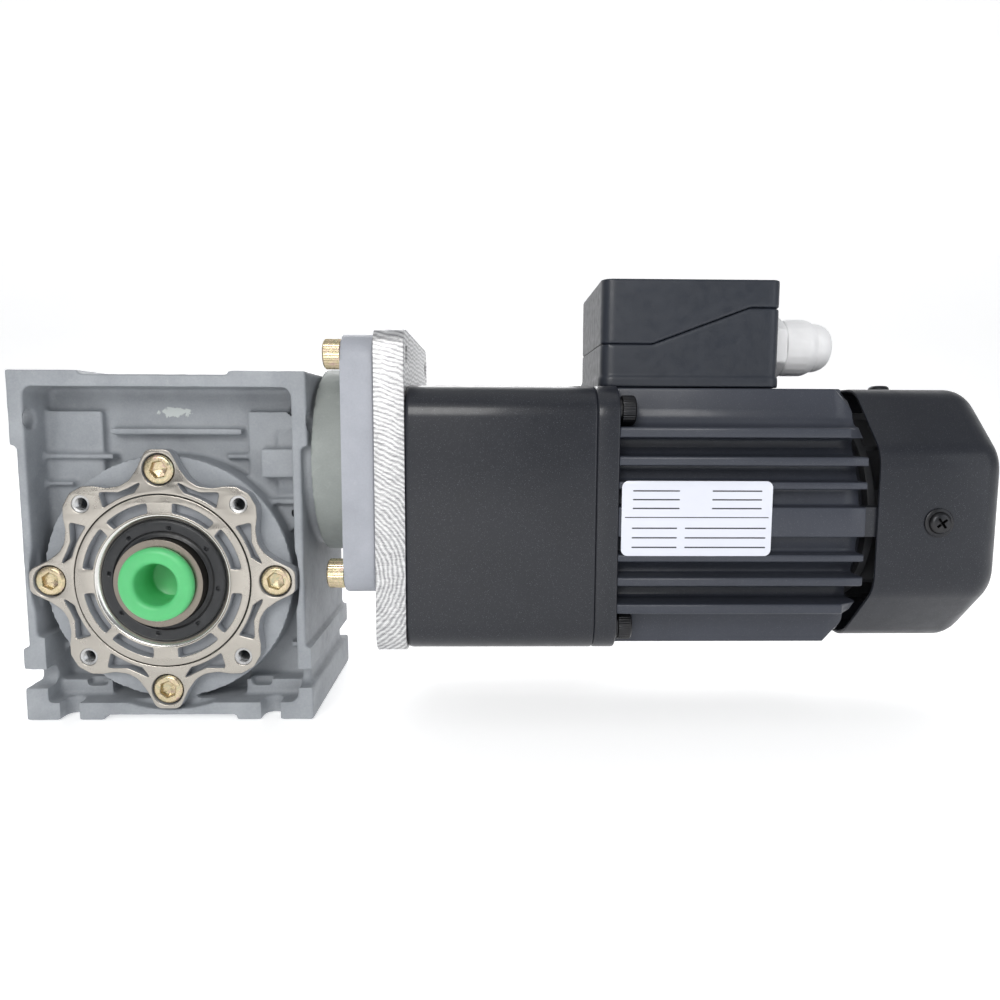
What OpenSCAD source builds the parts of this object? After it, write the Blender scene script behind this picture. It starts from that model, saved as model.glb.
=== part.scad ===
// Worm gear unit with a parallel-shaft gearhead and a fan-cooled induction motor.
// Frame: origin where the output axis crosses the middle plane of the unit.
// X runs along the worm towards the motor, Y along the output axis, Z up.

/* [Worm gear unit] */
// Width of the gear housing along the worm
housing_w = 100; // [98:1:102]
// Depth of the gear housing from rim to rim
housing_depth = 68; // [67:0.5:69]
// Height of the output axis above the feet
axis_height = 50; // [49:1:52]
// Height of the housing roof above the output axis
roof_height = 71.5; // [70.5:0.5:73]
// Thickness of the outer walls
wall = 5.5; // [5:0.5:6]
// Distance of each machined output face from the middle plane
output_face = 35.5; // [35.5:0.5:36]
// Length of the hollow output shaft
hub_len = 78; // [77:1:80]
// Bore of the hollow output shaft
bore_d = 18; // [16:0.5:18.5]
// Pitch circle of the output face bolts
face_pcd = 75; // [74:0.5:75]
// Spacing of the foot bolts along X
foot_bolt_x = 70; // [69:0.5:71]
// Spacing of the foot bolts along Y
foot_bolt_y = 60; // [59:0.5:61]
// Spacing of the side bolts along Z
side_bolt_z = 90; // [89:0.5:91]
// Clearance hole of the foot and side bolts
bolt_hole_d = 6.5; // [6:0.5:7]

/* [Gearhead and motor] */
// Side of the square gearhead and motor frame
frame_size = 90; // [89:0.5:91]
// Half spacing of the corner screws
corner_screw = 36.77; // [36.5:0.01:37]
// Thickness of the motor front bracket
bracket_t = 7.5; // [7:0.5:8]
// Right end of the finned motor frame
motor_end_x = 237; // [236:0.5:238]
// Right end of the fan cover
cover_end_x = 285.5; // [284:0.5:287]
// Width of the terminal box along X
box_w = 62; // [60:1:63]
// Depth of the terminal box along Y
box_d = 58; // [56:1:60]
// Top of the terminal box
box_top = 103.5; // [102:0.5:106]

/* [Hidden] */

fine = 96;
medium = 48;
small = 24;
fit = 0.05;
eps = 0.01;
pressure_angle = 20;

// Gear data and places that follow from this unit size
worm_module = 2;
worm_pitch_d = 20;
wheel_teeth = 30;
pinion_module = 0.8;
pinion_teeth = 12;
cluster_gear_teeth = 42;
final_module = 1;
cluster_pinion_teeth = 14;
final_gear_teeth = 40;
motor_z = 22;
gearhead_x = 84;
gearhead_len = 63;

// Gear train
centre_distance = (worm_pitch_d + worm_module * wheel_teeth) / 2;
worm_z = centre_distance;
cluster_r1 = pinion_module * (pinion_teeth + cluster_gear_teeth) / 2;
cluster_r2 = final_module * (cluster_pinion_teeth + final_gear_teeth) / 2;
axis_gap = worm_z - motor_z;
cluster_rise = (pow(cluster_r1, 2) - pow(cluster_r2, 2) + pow(axis_gap, 2)) / (2 * axis_gap);
cluster_z = motor_z + cluster_rise;
cluster_y = sqrt(pow(cluster_r1, 2) - pow(cluster_rise, 2));
lead = PI * worm_module;
lead_angle = atan(worm_module / worm_pitch_d);
worm_root_r = worm_pitch_d / 2 - 1.25 * worm_module;
thread_sides = 24;
first_stage_angle = atan2(cluster_z - motor_z, cluster_y);
final_stage_angle = atan2(worm_z - cluster_z, -cluster_y);

// Gear housing
rim_y = housing_depth / 2;
foot_z = -axis_height;
inner_w = housing_w - 2 * wall;
roof_inner_z = roof_height - wall;
floor_z = foot_z + 6.5;
web_y = 17;
bearing_web_y = 20.5;
chamber_r = 34.6;
barrel_r = 43;
barrel_y = 30;
register_r = 34;
output_bearing_r = 27.5;
output_bearing_w = 13;
output_bearing_y = 14;
seal_r = 21;
seal_w = 7;
hub_r = 15;
spigot_r = 30;
screw_circle = 38.3;
tip_r = 45.3;
lobe_r = 42.6;
worm_tunnel_r = 14;
side_bolt_mid = 10;

// Worm line along X
worm_end_x = -50;
end_bearing_r = 17.5;
end_bearing_w = 11;
end_bearing_x = -46;
end_shaft_r = 7.5;
input_bearing_r = 21;
input_bearing_w = 12;
input_bearing_x = 38;
input_shaft_r = 10;
input_bore_r = 5.5;
drum_x = 51;
drum_r = 34;
flange_x = 63;
flange_t = 11;
flange_size = 87;
plate_x = flange_x + flange_t;
plate_t = gearhead_x - plate_x;

// Gearhead and motor line along X
half = frame_size / 2;
bracket_x = gearhead_x + gearhead_len;
frame_x = bracket_x + bracket_t;
gear_cavity_r = 41;
stator_r = 37;
frame_tube_r = 40;
rotor_r = 24;
motor_bearing_r = 17.5;
motor_bearing_w = 11;
cover_x = motor_end_x + 4;
cover_sheet = 1.2;
cover_screw_x = cover_end_x - 24;
cover_chamfer = 22;
box_x = 150;
box_z = motor_z + half;
gland_z = 83.3;
gland_r = 10.7;

grey_paint = "#b4bcc0";
machined = "#cfc9bd";
steel = "#8a8d90";
bright_steel = "#b9bcc0";
rubber_black = "#26282b";
zinc = "#c9b46a";
bronze = "#b8893b";
motor_black = "#34353a";
black_oxide = "#2a2a2c";

// Helpers

// Places children with their Z axis along the worm direction, starting at x
module along_x(x, z = 0, y = 0) {
    translate([x, y, z])
        rotate([90, 0, 90])
            children();
}

// Places children with their Z axis along +Y, starting at y
module along_y(y, x = 0, z = 0) {
    translate([x, y, z])
        rotate([-90, 0, 0])
            children();
}

// A round bar or hole along X
module bar_x(x0, x1, r, z = 0, y = 0, sides = fine) {
    along_x(x0, z, y)
        cylinder(h = x1 - x0, r = r, $fn = sides);
}

// A tube along X
module tube_x(x0, x1, r_out, r_in, z = 0, y = 0, sides = fine) {
    along_x(x0, z, y)
        difference() {
            cylinder(h = x1 - x0, r = r_out, $fn = sides);
            translate([0, 0, -1])
                cylinder(h = x1 - x0 + 2, r = r_in, $fn = sides);
        }
}

// A round bar or hole along Y
module bar_y(y0, y1, r, x = 0, z = 0, sides = fine) {
    along_y(y0, x, z)
        cylinder(h = y1 - y0, r = r, $fn = sides);
}

// A tube along Y
module tube_y(y0, y1, r_out, r_in, x = 0, z = 0, sides = fine) {
    along_y(y0, x, z)
        difference() {
            cylinder(h = y1 - y0, r = r_out, $fn = sides);
            translate([0, 0, -1])
                cylinder(h = y1 - y0 + 2, r = r_in, $fn = sides);
        }
}

// A box from its lowest corner to its highest corner
module box(low, high) {
    translate(low)
        cube(high - low);
}

// Outline of a rectangle with round corners, centred on the origin
function round_rect(w, h, r, steps = 6) = [
    for (corner = [0 : 3], i = [0 : steps])
        let (
            a = corner * 90 + i * 90 / steps,
            sx = (corner == 0 || corner == 3) ? 1 : -1,
            sy = corner < 2 ? 1 : -1
        )
        [sx * (w / 2 - r) + r * cos(a), sy * (h / 2 - r) + r * sin(a)]
];

// A block with round edges along X
module round_block_x(x0, x1, w, h, r, z = 0) {
    along_x(x0, z)
        linear_extrude(height = x1 - x0)
            polygon(round_rect(w, h, r));
}

// Four copies at the corners of a square about an axis along X
module at_corners(z, reach = corner_screw) {
    for (sy = [-1, 1], sz = [-1, 1])
        translate([0, sy * reach, z + sz * reach])
            children();
}

// Socket head screw along +Z with its head above the origin
module socket_screw(d, len, head_d, head_h, key_d) {
    difference() {
        union() {
            translate([0, 0, -len])
                cylinder(h = len + eps, r = d / 2 - fit, $fn = small);
            cylinder(h = head_h - 0.5, r = head_d / 2, $fn = medium);
            translate([0, 0, head_h - 0.5])
                cylinder(h = 0.5, r1 = head_d / 2, r2 = head_d / 2 - 0.5, $fn = medium);
        }
        translate([0, 0, head_h * 0.45])
            cylinder(h = head_h, r = key_d / sqrt(3), $fn = 6);
    }
}

// Involute gear outline
function involute(rb, r) = let (t = sqrt(max(0, r * r / (rb * rb) - 1))) t * 180 / PI - atan(t);
function flank_half_angle(m, z, r, backlash) =
    let (rp = m * z / 2, rb = rp * cos(pressure_angle))
    (90 / z) - (backlash / 2) / rp * 180 / PI + involute(rb, rp) - involute(rb, max(r, rb));
function tooth(m, z, k, tip, root, backlash, steps) =
    let (
        radii = [for (i = [0 : steps]) root + (tip - root) * i / steps],
        mid = k * 360 / z
    )
    concat(
        [for (r = radii) [r, mid - flank_half_angle(m, z, r, backlash)]],
        [for (i = [steps : -1 : 0]) [radii[i], mid + flank_half_angle(m, z, radii[i], backlash)]]
    );
function gear_outline(m, z, add = 1, ded = 1.25, backlash = 0.12, steps = 4) = [
    for (k = [0 : z - 1], p = tooth(m, z, k, m * (z / 2 + add), m * (z / 2 - ded), backlash, steps))
        [p[0] * cos(p[1]), p[0] * sin(p[1])]
];

// Spur gear along X; one tooth points at the angle turn, counted from +Y towards +Z
module spur_gear_x(x0, x1, m, z, turn, axis_y, axis_z, add = 1, ded = 1.25, backlash = 0.12) {
    along_x(x0, axis_z, axis_y)
        rotate([0, 0, turn])
            linear_extrude(height = x1 - x0)
                polygon(gear_outline(m, z, add, ded, backlash));
}

// Outer ring of a ball bearing, with its axis along Z from the origin
module bearing_outer(r_in, r_out, w) {
    race = (r_in + r_out) / 2;
    ball = (r_out - r_in) * 0.3;
    rotate_extrude($fn = fine)
        difference() {
            translate([race + ball * 0.62, 0])
                square([r_out - race - ball * 0.62, w]);
            translate([race, w / 2])
                circle(r = ball + fit, $fn = small);
        }
}

// Inner ring of a ball bearing
module bearing_inner(r_in, r_out, w) {
    race = (r_in + r_out) / 2;
    ball = (r_out - r_in) * 0.3;
    rotate_extrude($fn = fine)
        difference() {
            translate([r_in, 0])
                square([race - ball * 0.62 - r_in, w]);
            translate([race, w / 2])
                circle(r = ball + fit, $fn = small);
        }
}

// Balls of a ball bearing
module bearing_balls(r_in, r_out, w, count) {
    race = (r_in + r_out) / 2;
    ball = (r_out - r_in) * 0.3;
    for (i = [0 : count - 1])
        rotate([0, 0, i * 360 / count])
            translate([race, 0, w / 2])
                sphere(r = ball, $fn = small);
}

// Radial shaft seal with a lip relief, along Z from the origin; the open side is at the top
module shaft_seal(shaft_r, r_out, w) {
    rotate_extrude($fn = fine)
        difference() {
            translate([shaft_r + fit, 0])
                square([r_out - shaft_r - fit, w]);
            translate([shaft_r + 1.6, w - 1.6])
                square([1.6, 3]);
            translate([shaft_r + 1.2, -1])
                square([r_out - shaft_r - 2.8, 4]);
        }
}

// Output face: a star with four screw tips and four bolt lobes
function polar(r, a) = [r * cos(a), r * sin(a)];
star_half = [[tip_r, 5], [39.2, 10.5], [36, 16], [35.2, 22], [36.6, 29], [39.4, 34], [lobe_r - 1, 38.5]];
function star_quarter(q) = concat(
    [for (p = star_half) polar(p[0], q * 90 + p[1])],
    [polar(lobe_r, q * 90 + 45)],
    [for (i = [len(star_half) - 1 : -1 : 0]) polar(star_half[i][0], q * 90 + 90 - star_half[i][1])]
);
function arc(r, a0, a1, steps = 8) = [for (i = [0 : steps]) polar(r, a0 + (a1 - a0) * i / steps)];

module star_outline() {
    polygon([for (q = [0 : 3], p = star_quarter(q)) p]);
}

// Windows cast into the star, inner and outer ring
module star_windows() {
    for (q = [0 : 3], side = [0, 1])
        rotate(q * 90)
            mirror([side, -side, 0]) {
                polygon(concat(arc(23.4, 10, 41), arc(27, 42, 9)));
                polygon(concat(
                    arc(31.4, 15.5, 37, 6),
                    [polar(36.6, 33.5), polar(33.3, 21), polar(34.8, 9)]
                ));
            }
}

// The star plate between two planes, its open side facing -Y
module star_plate(y_face, t, pocket) {
    translate([0, y_face, 0])
        rotate([-90, 0, 0]) {
            difference() {
                linear_extrude(height = t)
                    star_outline();
                translate([0, 0, -1])
                    linear_extrude(height = pocket + 1)
                        star_windows();
            }
        }
}

// Sub-parts of the worm gear unit

module housing_walls() {
    side = housing_w / 2;
    low_pad = -24;
    notch_top = side_bolt_mid - side_bolt_z / 2 + 3.5;
    pad_t = 6;
    // plain walls
    box([-side + 2.2, -rim_y, foot_z + 2], [side - 2.2, rim_y, roof_height - 1.3]);
    // roof pads, side pads and feet at the corners
    box([24, -rim_y, roof_inner_z], [side, rim_y, roof_height]);
    box([-side, -rim_y, roof_inner_z], [-26, rim_y, roof_height]);
    for (x = [-side, side - pad_t])
        box([x, -rim_y, 46], [x + pad_t, rim_y, roof_height]);
    box([side - pad_t, -rim_y, notch_top], [side - 0.5, rim_y, low_pad]);
    box([-side, -rim_y, notch_top], [-side + pad_t + 0.5, rim_y, low_pad]);
    for (x = [-side, 23])
        box([x, -rim_y, foot_z], [x + side - 23, rim_y, foot_z + 12]);
}

module housing_pocket(s) {
    // draughted pocket between the rim and the web
    mirror([0, s > 0 ? 1 : 0, 0])
        difference() {
            translate([0, -rim_y - 1, (roof_inner_z + floor_z) / 2])
                rotate([-90, 0, 0])
                    linear_extrude(height = rim_y + 1 - web_y)
                        polygon(round_rect(inner_w, roof_inner_z - floor_z, 3));
            // bearing seats of the worm stand proud of the web
            box([26, -bearing_web_y, 16], [inner_w / 2 + 1, 0, 58]);
            box([-inner_w / 2 - 1, -bearing_web_y, 16], [-25, 0, 58]);
            // stiffening bars
            box([-22, -web_y - 5, 49.6], [24, 0, 52]);
            box([-inner_w / 2 - 1, -bearing_web_y - 2.5, 41.2], [-21, 0, 43]);
            box([-inner_w / 2 - 1, -bearing_web_y - 2.5, 31.6], [-35, 0, 33.2]);
            box([18, -web_y - 3, 41.2], [inner_w / 2, 0, 43]);
            box([33, -bearing_web_y - 3, 25.4], [inner_w / 2 + 1, 0, 27.4]);
            for (side = [-1, 1])
                translate([side * 43, -web_y / 2 - 4, -26.4])
                    cube([7, web_y, 2], center = true);
            box([32, -bearing_web_y - 7, 35], [inner_w / 2 + 1, 0, 45.2]);
            // thick lower corners behind the feet
            box([-inner_w / 2 - 1, -rim_y - 2, foot_z], [-42, 0, -20]);
            box([-45, -25, foot_z], [-24, 0, -38]);
            box([24, -25, foot_z], [45, 0, -38]);
        }
}

module housing_bolt_slots() {
    slot_r = bolt_hole_d / 2;
    low_z = side_bolt_mid - side_bolt_z / 2;
    for (sy = [-1, 1]) {
        y = sy * foot_bolt_y / 2;
        y_low = min(y, y + sy * 10);
        y_high = max(y, y + sy * 10);
        // foot bolt slots open towards the rims
        for (x = [-1, 1] * foot_bolt_x / 2) {
            translate([x, y, foot_z - 1])
                cylinder(h = 14, r = slot_r, $fn = medium);
            box([x - slot_r, y_low, foot_z - 1], [x + slot_r, y_high, foot_z + 13]);
        }
        // side bolt holes, the lower pair open towards the rims
        for (x = [-housing_w / 2 - 1, 38]) {
            for (z = [low_z, low_z + side_bolt_z])
                bar_x(x, x + 13, slot_r, z, y, medium);
            box([x, y_low, low_z - slot_r], [x + 13, y_high, low_z + slot_r]);
        }
    }
}

module gear_housing() {
    color(grey_paint)
        difference() {
            union() {
                difference() {
                    housing_walls();
                    for (s = [-1, 1])
                        housing_pocket(s);
                }
                // barrel of the wheel chamber and rear output face
                bar_y(-barrel_y, barrel_y + eps, barrel_r);
                mirror([0, 1, 0])
                    star_plate(-output_face, output_face - barrel_y, 3.5);
                // input boss on the right wall
                bar_x(36.5, drum_x, input_bearing_r + 3, worm_z);
                bar_x(housing_w / 2 - 4, drum_x, 30.5, worm_z);
            }
            // wheel chamber, open at the front for the cover
            bar_y(-barrel_y - 1, output_bearing_y, chamber_r - 0.6);
            bar_y(-barrel_y + 6, output_bearing_y, chamber_r);
            bar_y(output_bearing_y - 1, output_bearing_y + output_bearing_w, output_bearing_r);
            bar_y(output_bearing_y, output_face - seal_w + 1, seal_r + 2);
            bar_y(output_face - seal_w, output_face + 1, seal_r);
            // worm tunnel and its bearing seats
            bar_x(-40, 40, worm_tunnel_r, worm_z);
            bar_x(worm_end_x - 1, end_bearing_x + end_bearing_w, end_bearing_r, worm_z);
            bar_x(input_bearing_x, drum_x + 1, input_bearing_r, worm_z);
            tube_x(input_bearing_x + input_bearing_w, input_bearing_x + input_bearing_w + 1,
                input_bearing_r + 0.9, input_bearing_r - 1, worm_z);
            tube_x(end_bearing_x - 1.1, end_bearing_x - 0.1,
                end_bearing_r + 0.9, end_bearing_r - 1, worm_z);
            // threaded holes for the cover screws and the face bolts
            for (i = [0 : 3]) {
                rotate([0, i * 90, 0])
                    bar_y(-barrel_y - 1, -barrel_y + 13, 3, screw_circle, 0, small);
                rotate([0, 45 + i * 90, 0]) {
                    bar_y(-barrel_y - 1, -barrel_y + 7, 2.5, face_pcd / 2, 0, medium);
                    bar_y(output_face - 13, output_face + 1, 2.5, face_pcd / 2, 0, medium);
                }
                // threaded holes for the input flange
                along_x(drum_x - 11, worm_z)
                    rotate([0, 0, 45 + i * 90])
                        translate([25.5, 0, 0])
                            cylinder(h = 12, r = 2.5, $fn = small);
            }
            housing_bolt_slots();
            // core pockets beside the feet
            for (sy = [-1, 1], sx = [-1, 1])
                box([sx * 29.5 - 3.5, sy > 0 ? 21 : -26, -40.5], [sx * 29.5 + 3.5, sy > 0 ? 26 : -21, -35]);
            // relief in the walls around the tips of the front cover
            tube_y(-rim_y - 1, -barrel_y + 0.6, tip_r + 0.6, barrel_r + 0.2);
        }
}

module front_cover() {
    cover_t = output_face - barrel_y;
    color(machined)
        difference() {
            union() {
                star_plate(-output_face, cover_t, 4);
                // register and bearing sleeve
                bar_y(-barrel_y - eps, -barrel_y + 5, register_r - fit);
                bar_y(-barrel_y, -output_bearing_y, 31);
            }
            // o-ring groove
            tube_y(-barrel_y + 1.4, -barrel_y + 3.6, register_r + 1, register_r - 1.8);
            bar_y(-output_face - 1, -output_face + seal_w, seal_r);
            bar_y(-output_face + seal_w - 1, -output_bearing_y - output_bearing_w + eps, seal_r + 2);
            bar_y(-output_bearing_y - output_bearing_w, -output_bearing_y + 1, output_bearing_r);
            // chamfer of the seal bore
            along_y(-output_face - eps)
                cylinder(h = 1.5, r1 = seal_r + 2, r2 = seal_r, $fn = fine);
            // shallow spigot step
            tube_y(-output_face - 1, -output_face + 0.5, spigot_r + 0.6, spigot_r);
            for (i = [0 : 3]) {
                rotate([0, i * 90, 0]) {
                    bar_y(-output_face - 1, -output_face + 3.4, 5.5, screw_circle, 0, medium);
                    bar_y(-output_face - 1, -barrel_y + 1, 3.2, screw_circle, 0, small);
                }
                rotate([0, 45 + i * 90, 0])
                    bar_y(-output_face - 1, -barrel_y + 1, 2.5, face_pcd / 2, 0, medium);
            }
        }
}

module cover_screws() {
    color(zinc)
        for (i = [0 : 3])
            rotate([0, i * 90, 0])
                translate([screw_circle, -output_face + 3.4 - eps, 0])
                    rotate([90, 0, 0])
                        socket_screw(6, 11, 10, 3.2, 5);
}

module cover_o_ring() {
    color(rubber_black)
        along_y(-barrel_y + 2.5)
            rotate_extrude($fn = fine)
                translate([register_r - 0.95, 0])
                    circle(r = 0.8, $fn = small);
}

module front_oil_seal() {
    color(rubber_black)
        along_y(-output_face + 0.7 + 6.2)
            rotate([180, 0, 0])
                shaft_seal(hub_r, seal_r - fit, 6.2);
}

module rear_oil_seal() {
    color(rubber_black)
        along_y(output_face - 0.7 - 6.2)
            shaft_seal(hub_r, seal_r - fit, 6.2);
}

module front_bearing_outer_ring() {
    color(bright_steel)
        along_y(-output_bearing_y - output_bearing_w)
            bearing_outer(hub_r, output_bearing_r - fit, output_bearing_w);
}

module front_bearing_inner_ring() {
    color(bright_steel)
        along_y(-output_bearing_y - output_bearing_w)
            bearing_inner(hub_r + fit, output_bearing_r - fit, output_bearing_w);
}

module front_bearing_balls() {
    color(bright_steel)
        along_y(-output_bearing_y - output_bearing_w)
            bearing_balls(hub_r, output_bearing_r - fit, output_bearing_w, 11);
}

module rear_bearing_outer_ring() {
    color(bright_steel)
        along_y(output_bearing_y)
            bearing_outer(hub_r, output_bearing_r - fit, output_bearing_w);
}

module rear_bearing_inner_ring() {
    color(bright_steel)
        along_y(output_bearing_y)
            bearing_inner(hub_r + fit, output_bearing_r - fit, output_bearing_w);
}

module rear_bearing_balls() {
    color(bright_steel)
        along_y(output_bearing_y)
            bearing_balls(hub_r, output_bearing_r - fit, output_bearing_w, 11);
}

module output_hub() {
    key_w = 6;
    key_depth = 2.8;
    relief_r = bore_d / 2 + 0.4;
    color(steel)
        difference() {
            union() {
                bar_y(-hub_len / 2, hub_len / 2, hub_r);
                bar_y(-output_bearing_y + 0.3, output_bearing_y - 0.3, 20);
            }
            bar_y(-hub_len / 2 - 1, hub_len / 2 + 1, bore_d / 2);
            // plug seat at the front, chamfer at the rear
            bar_y(-hub_len / 2 - 1, -hub_len / 2 + 16, relief_r);
            along_y(hub_len / 2 - 1)
                cylinder(h = 1 + eps, r1 = bore_d / 2, r2 = bore_d / 2 + 1, $fn = fine);
            box([-key_w / 2, -hub_len / 2 - 1, 0], [key_w / 2, hub_len / 2 + 1, bore_d / 2 + key_depth]);
        }
}

module worm_wheel() {
    face = 18;
    rim_in = 20 + fit;
    tip = worm_module * (wheel_teeth / 2 + 1);
    color(bronze)
        difference() {
            intersection() {
                union() {
                    bar_y(-face / 2, face / 2, worm_module * (wheel_teeth / 2 - 1.25) + eps);
                    for (k = [0 : wheel_teeth - 1])
                        rotate([0, (k + 0.5) * 360 / wheel_teeth, 0])
                            wheel_tooth(face);
                }
                along_y(-face / 2)
                    cylinder(h = face, r = tip, $fn = fine);
            }
            bar_y(-face, face, rim_in);
        }
}

// One slanted tooth of the worm wheel, pointing along +Z
module wheel_tooth(face) {
    m = worm_module;
    z = wheel_teeth;
    root = m * (z / 2 - 1.3);
    tip = m * (z / 2 + 1) + 0.5;
    backlash = 0.5;
    steps = 4;
    points = tooth(m, z, 0, tip, root, backlash, steps);
    rotate([0, 0, lead_angle])
        rotate([0, -90, 0])
            rotate([90, 0, 0])
                translate([0, 0, -face])
                    linear_extrude(height = 2 * face)
                        polygon([for (p = points) [p[0] * cos(p[1]), p[0] * sin(p[1])]]);
}

module bore_plug() {
    stem_r = bore_d / 2 + 0.1;
    color("#4fc07a")
        translate([0, -hub_len / 2, 0])
            rotate([90, 0, 0])
                rotate_extrude($fn = fine)
                    difference() {
                        union() {
                            translate([0, -13])
                                square([stem_r, 14]);
                            translate([0, fit])
                                square([12.6, 2.2]);
                            translate([0, 2])
                                square([11.6, 1.2]);
                        }
                        translate([-1, -11.5])
                            square([stem_r + 0.2 - 1.2, 20]);
                    }
}

module worm_shaft() {
    root_half_len = 19;
    root_prism = [for (i = [0 : thread_sides - 1]) polar(worm_root_r, i * 360 / thread_sides)];
    color(steel)
        difference() {
            union() {
                bar_x(end_bearing_x, end_bearing_x + end_bearing_w, end_shaft_r, worm_z);
                bar_x(end_bearing_x + end_bearing_w - eps, -root_half_len, 9.5, worm_z);
                along_x(-root_half_len - eps, worm_z)
                    linear_extrude(height = 2 * (root_half_len + eps))
                        polygon(root_prism);
                bar_x(root_half_len, input_bearing_x + eps, 12, worm_z);
                bar_x(input_bearing_x, 57, input_shaft_r, worm_z);
                translate([0, 0, worm_z])
                    worm_thread(5);
            }
            bar_x(22, 60, input_bore_r, worm_z);
            box([22, -2, worm_z], [60, 2, worm_z + input_bore_r + 1.8]);
        }
}

// Helical ridge of the single-start worm along X, centred on x = 0, with a crest over the wheel
module worm_thread(turns) {
    m = worm_module;
    inner_r = worm_root_r - 0.6;
    slope = tan(pressure_angle);
    half_pitch = lead / 4 - 0.12;
    tip_half = half_pitch - m * slope;
    root_half = half_pitch + (worm_pitch_d / 2 - inner_r) * slope;
    stations = turns * thread_sides;
    section = [[-root_half, inner_r], [-tip_half, worm_pitch_d / 2 + m],
               [tip_half, worm_pitch_d / 2 + m], [root_half, inner_r]];
    ring = [
        for (i = [0 : stations])
            let (turn = i / thread_sides - turns / 2, a = 180 + turn * 360)
            for (p = section)
                [turn * lead + p[0], p[1] * sin(a), p[1] * cos(a)]
    ];
    sides = [
        for (i = [0 : stations - 1], j = [0 : 3])
            let (k = (j + 1) % 4)
            [4 * i + j, 4 * i + 4 + j, 4 * i + 4 + k, 4 * i + k]
    ];
    ends = [[0, 1, 2, 3], [4 * stations + 3, 4 * stations + 2, 4 * stations + 1, 4 * stations]];
    polyhedron(points = ring, faces = concat(sides, ends));
}

module end_bearing_outer_ring() {
    color(bright_steel)
        along_x(end_bearing_x, worm_z)
            bearing_outer(end_shaft_r, end_bearing_r - fit, end_bearing_w);
}

module end_bearing_inner_ring() {
    color(bright_steel)
        along_x(end_bearing_x, worm_z)
            bearing_inner(end_shaft_r + fit, end_bearing_r - fit, end_bearing_w);
}

module end_bearing_balls() {
    color(bright_steel)
        along_x(end_bearing_x, worm_z)
            bearing_balls(end_shaft_r, end_bearing_r - fit, end_bearing_w, 8);
}

module input_bearing_outer_ring() {
    color(bright_steel)
        along_x(input_bearing_x, worm_z)
            bearing_outer(input_shaft_r, input_bearing_r - fit, input_bearing_w);
}

module input_bearing_inner_ring() {
    color(bright_steel)
        along_x(input_bearing_x, worm_z)
            bearing_inner(input_shaft_r + fit, input_bearing_r - fit, input_bearing_w);
}

module input_bearing_balls() {
    color(bright_steel)
        along_x(input_bearing_x, worm_z)
            bearing_balls(input_shaft_r, input_bearing_r - fit, input_bearing_w, 9);
}

module worm_end_cap() {
    color(rubber_black)
        along_x(worm_end_x + 0.4, worm_z)
            difference() {
                cylinder(h = 2.3, r = end_bearing_r - fit, $fn = fine);
                translate([0, 0, -1])
                    cylinder(h = 1.8, r = end_bearing_r - 4, $fn = fine);
            }
}

module worm_circlips() {
    color(steel) {
        tube_x(end_bearing_x - 1.05, end_bearing_x - 0.15,
            end_bearing_r + 0.8, end_bearing_r - 2.2, worm_z);
        tube_x(input_bearing_x + input_bearing_w + 0.05, input_bearing_x + input_bearing_w + 0.95,
            input_bearing_r + 0.8, input_bearing_r - 2.4, worm_z);
    }
}

module worm_input_seal() {
    color(rubber_black)
        along_x(drum_x + 0.3, worm_z)
            shaft_seal(input_shaft_r, 17.5 - fit, 6);
}

module input_flange() {
    floor_t = 7;
    color(grey_paint)
        difference() {
            union() {
                bar_x(drum_x, flange_x + eps, drum_r, worm_z);
                round_block_x(flange_x, flange_x + flange_t, flange_size, flange_size, 9, worm_z);
            }
            bar_x(drum_x - 1, drum_x + floor_t + 1, 17.5, worm_z);
            bar_x(drum_x + floor_t, plate_x + 1, 30.8, worm_z);
            along_x(drum_x - 1, worm_z)
                for (i = [0 : 3])
                    rotate([0, 0, 45 + i * 90])
                        translate([25.5, 0, 0])
                            cylinder(h = floor_t + 2, r = 2.75, $fn = small);
            at_corners(worm_z)
                bar_x(flange_x - 1, plate_x + 1, 3.3, sides = small);
        }
}

module input_flange_screws() {
    color(black_oxide)
        along_x(drum_x + 7 + eps, worm_z)
            for (i = [0 : 3])
                rotate([0, 0, 45 + i * 90])
                    translate([25.5, 0, 0])
                        socket_screw(5, 16, 8.5, 5, 4);
}

module flange_plate_screws() {
    color(zinc)
        at_corners(worm_z)
            translate([flange_x, 0, 0])
                rotate([0, -90, 0])
                    socket_screw(6, 19, 10, 6, 5);
}

module adapter_plate() {
    low = motor_z - half;
    high = worm_z + half;
    color("#dfe0e2")
        difference() {
            along_x(plate_x, (low + high) / 2)
                linear_extrude(height = plate_t)
                    polygon(round_rect(frame_size, high - low, 7));
            bar_x(plate_x - 1, gearhead_x + 1, 17.5, worm_z);
            at_corners(worm_z)
                bar_x(plate_x - 1, gearhead_x + 1, 3, sides = small);
            at_corners(motor_z)
                bar_x(plate_x - 1, gearhead_x + 1, 3, sides = small);
        }
}

// Sub-parts of the gearhead

module gearhead_case() {
    boss_end = gearhead_x + 13;
    color(motor_black)
        difference() {
            union() {
                difference() {
                    round_block_x(gearhead_x, bracket_x, frame_size, frame_size, 11, motor_z);
                    bar_x(gearhead_x + 8, bracket_x + 1, gear_cavity_r - 1, motor_z);
                    bar_x(gearhead_x + 47, bracket_x + 1, gear_cavity_r, motor_z);
                }
                bar_x(gearhead_x + 7, boss_end, 18.5, worm_z);
                bar_x(gearhead_x + 7, boss_end - 1, 9.5, cluster_z, cluster_y);
            }
            bar_x(gearhead_x - 1, boss_end + 1, 9, worm_z);
            bar_x(gearhead_x + 2, boss_end + 1, 16, worm_z);
            bar_x(boss_end - 5, boss_end, 6, cluster_z, cluster_y, medium);
            at_corners(motor_z)
                bar_x(gearhead_x - 1, bracket_x + 1, 3.3, sides = small);
        }
}

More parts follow.
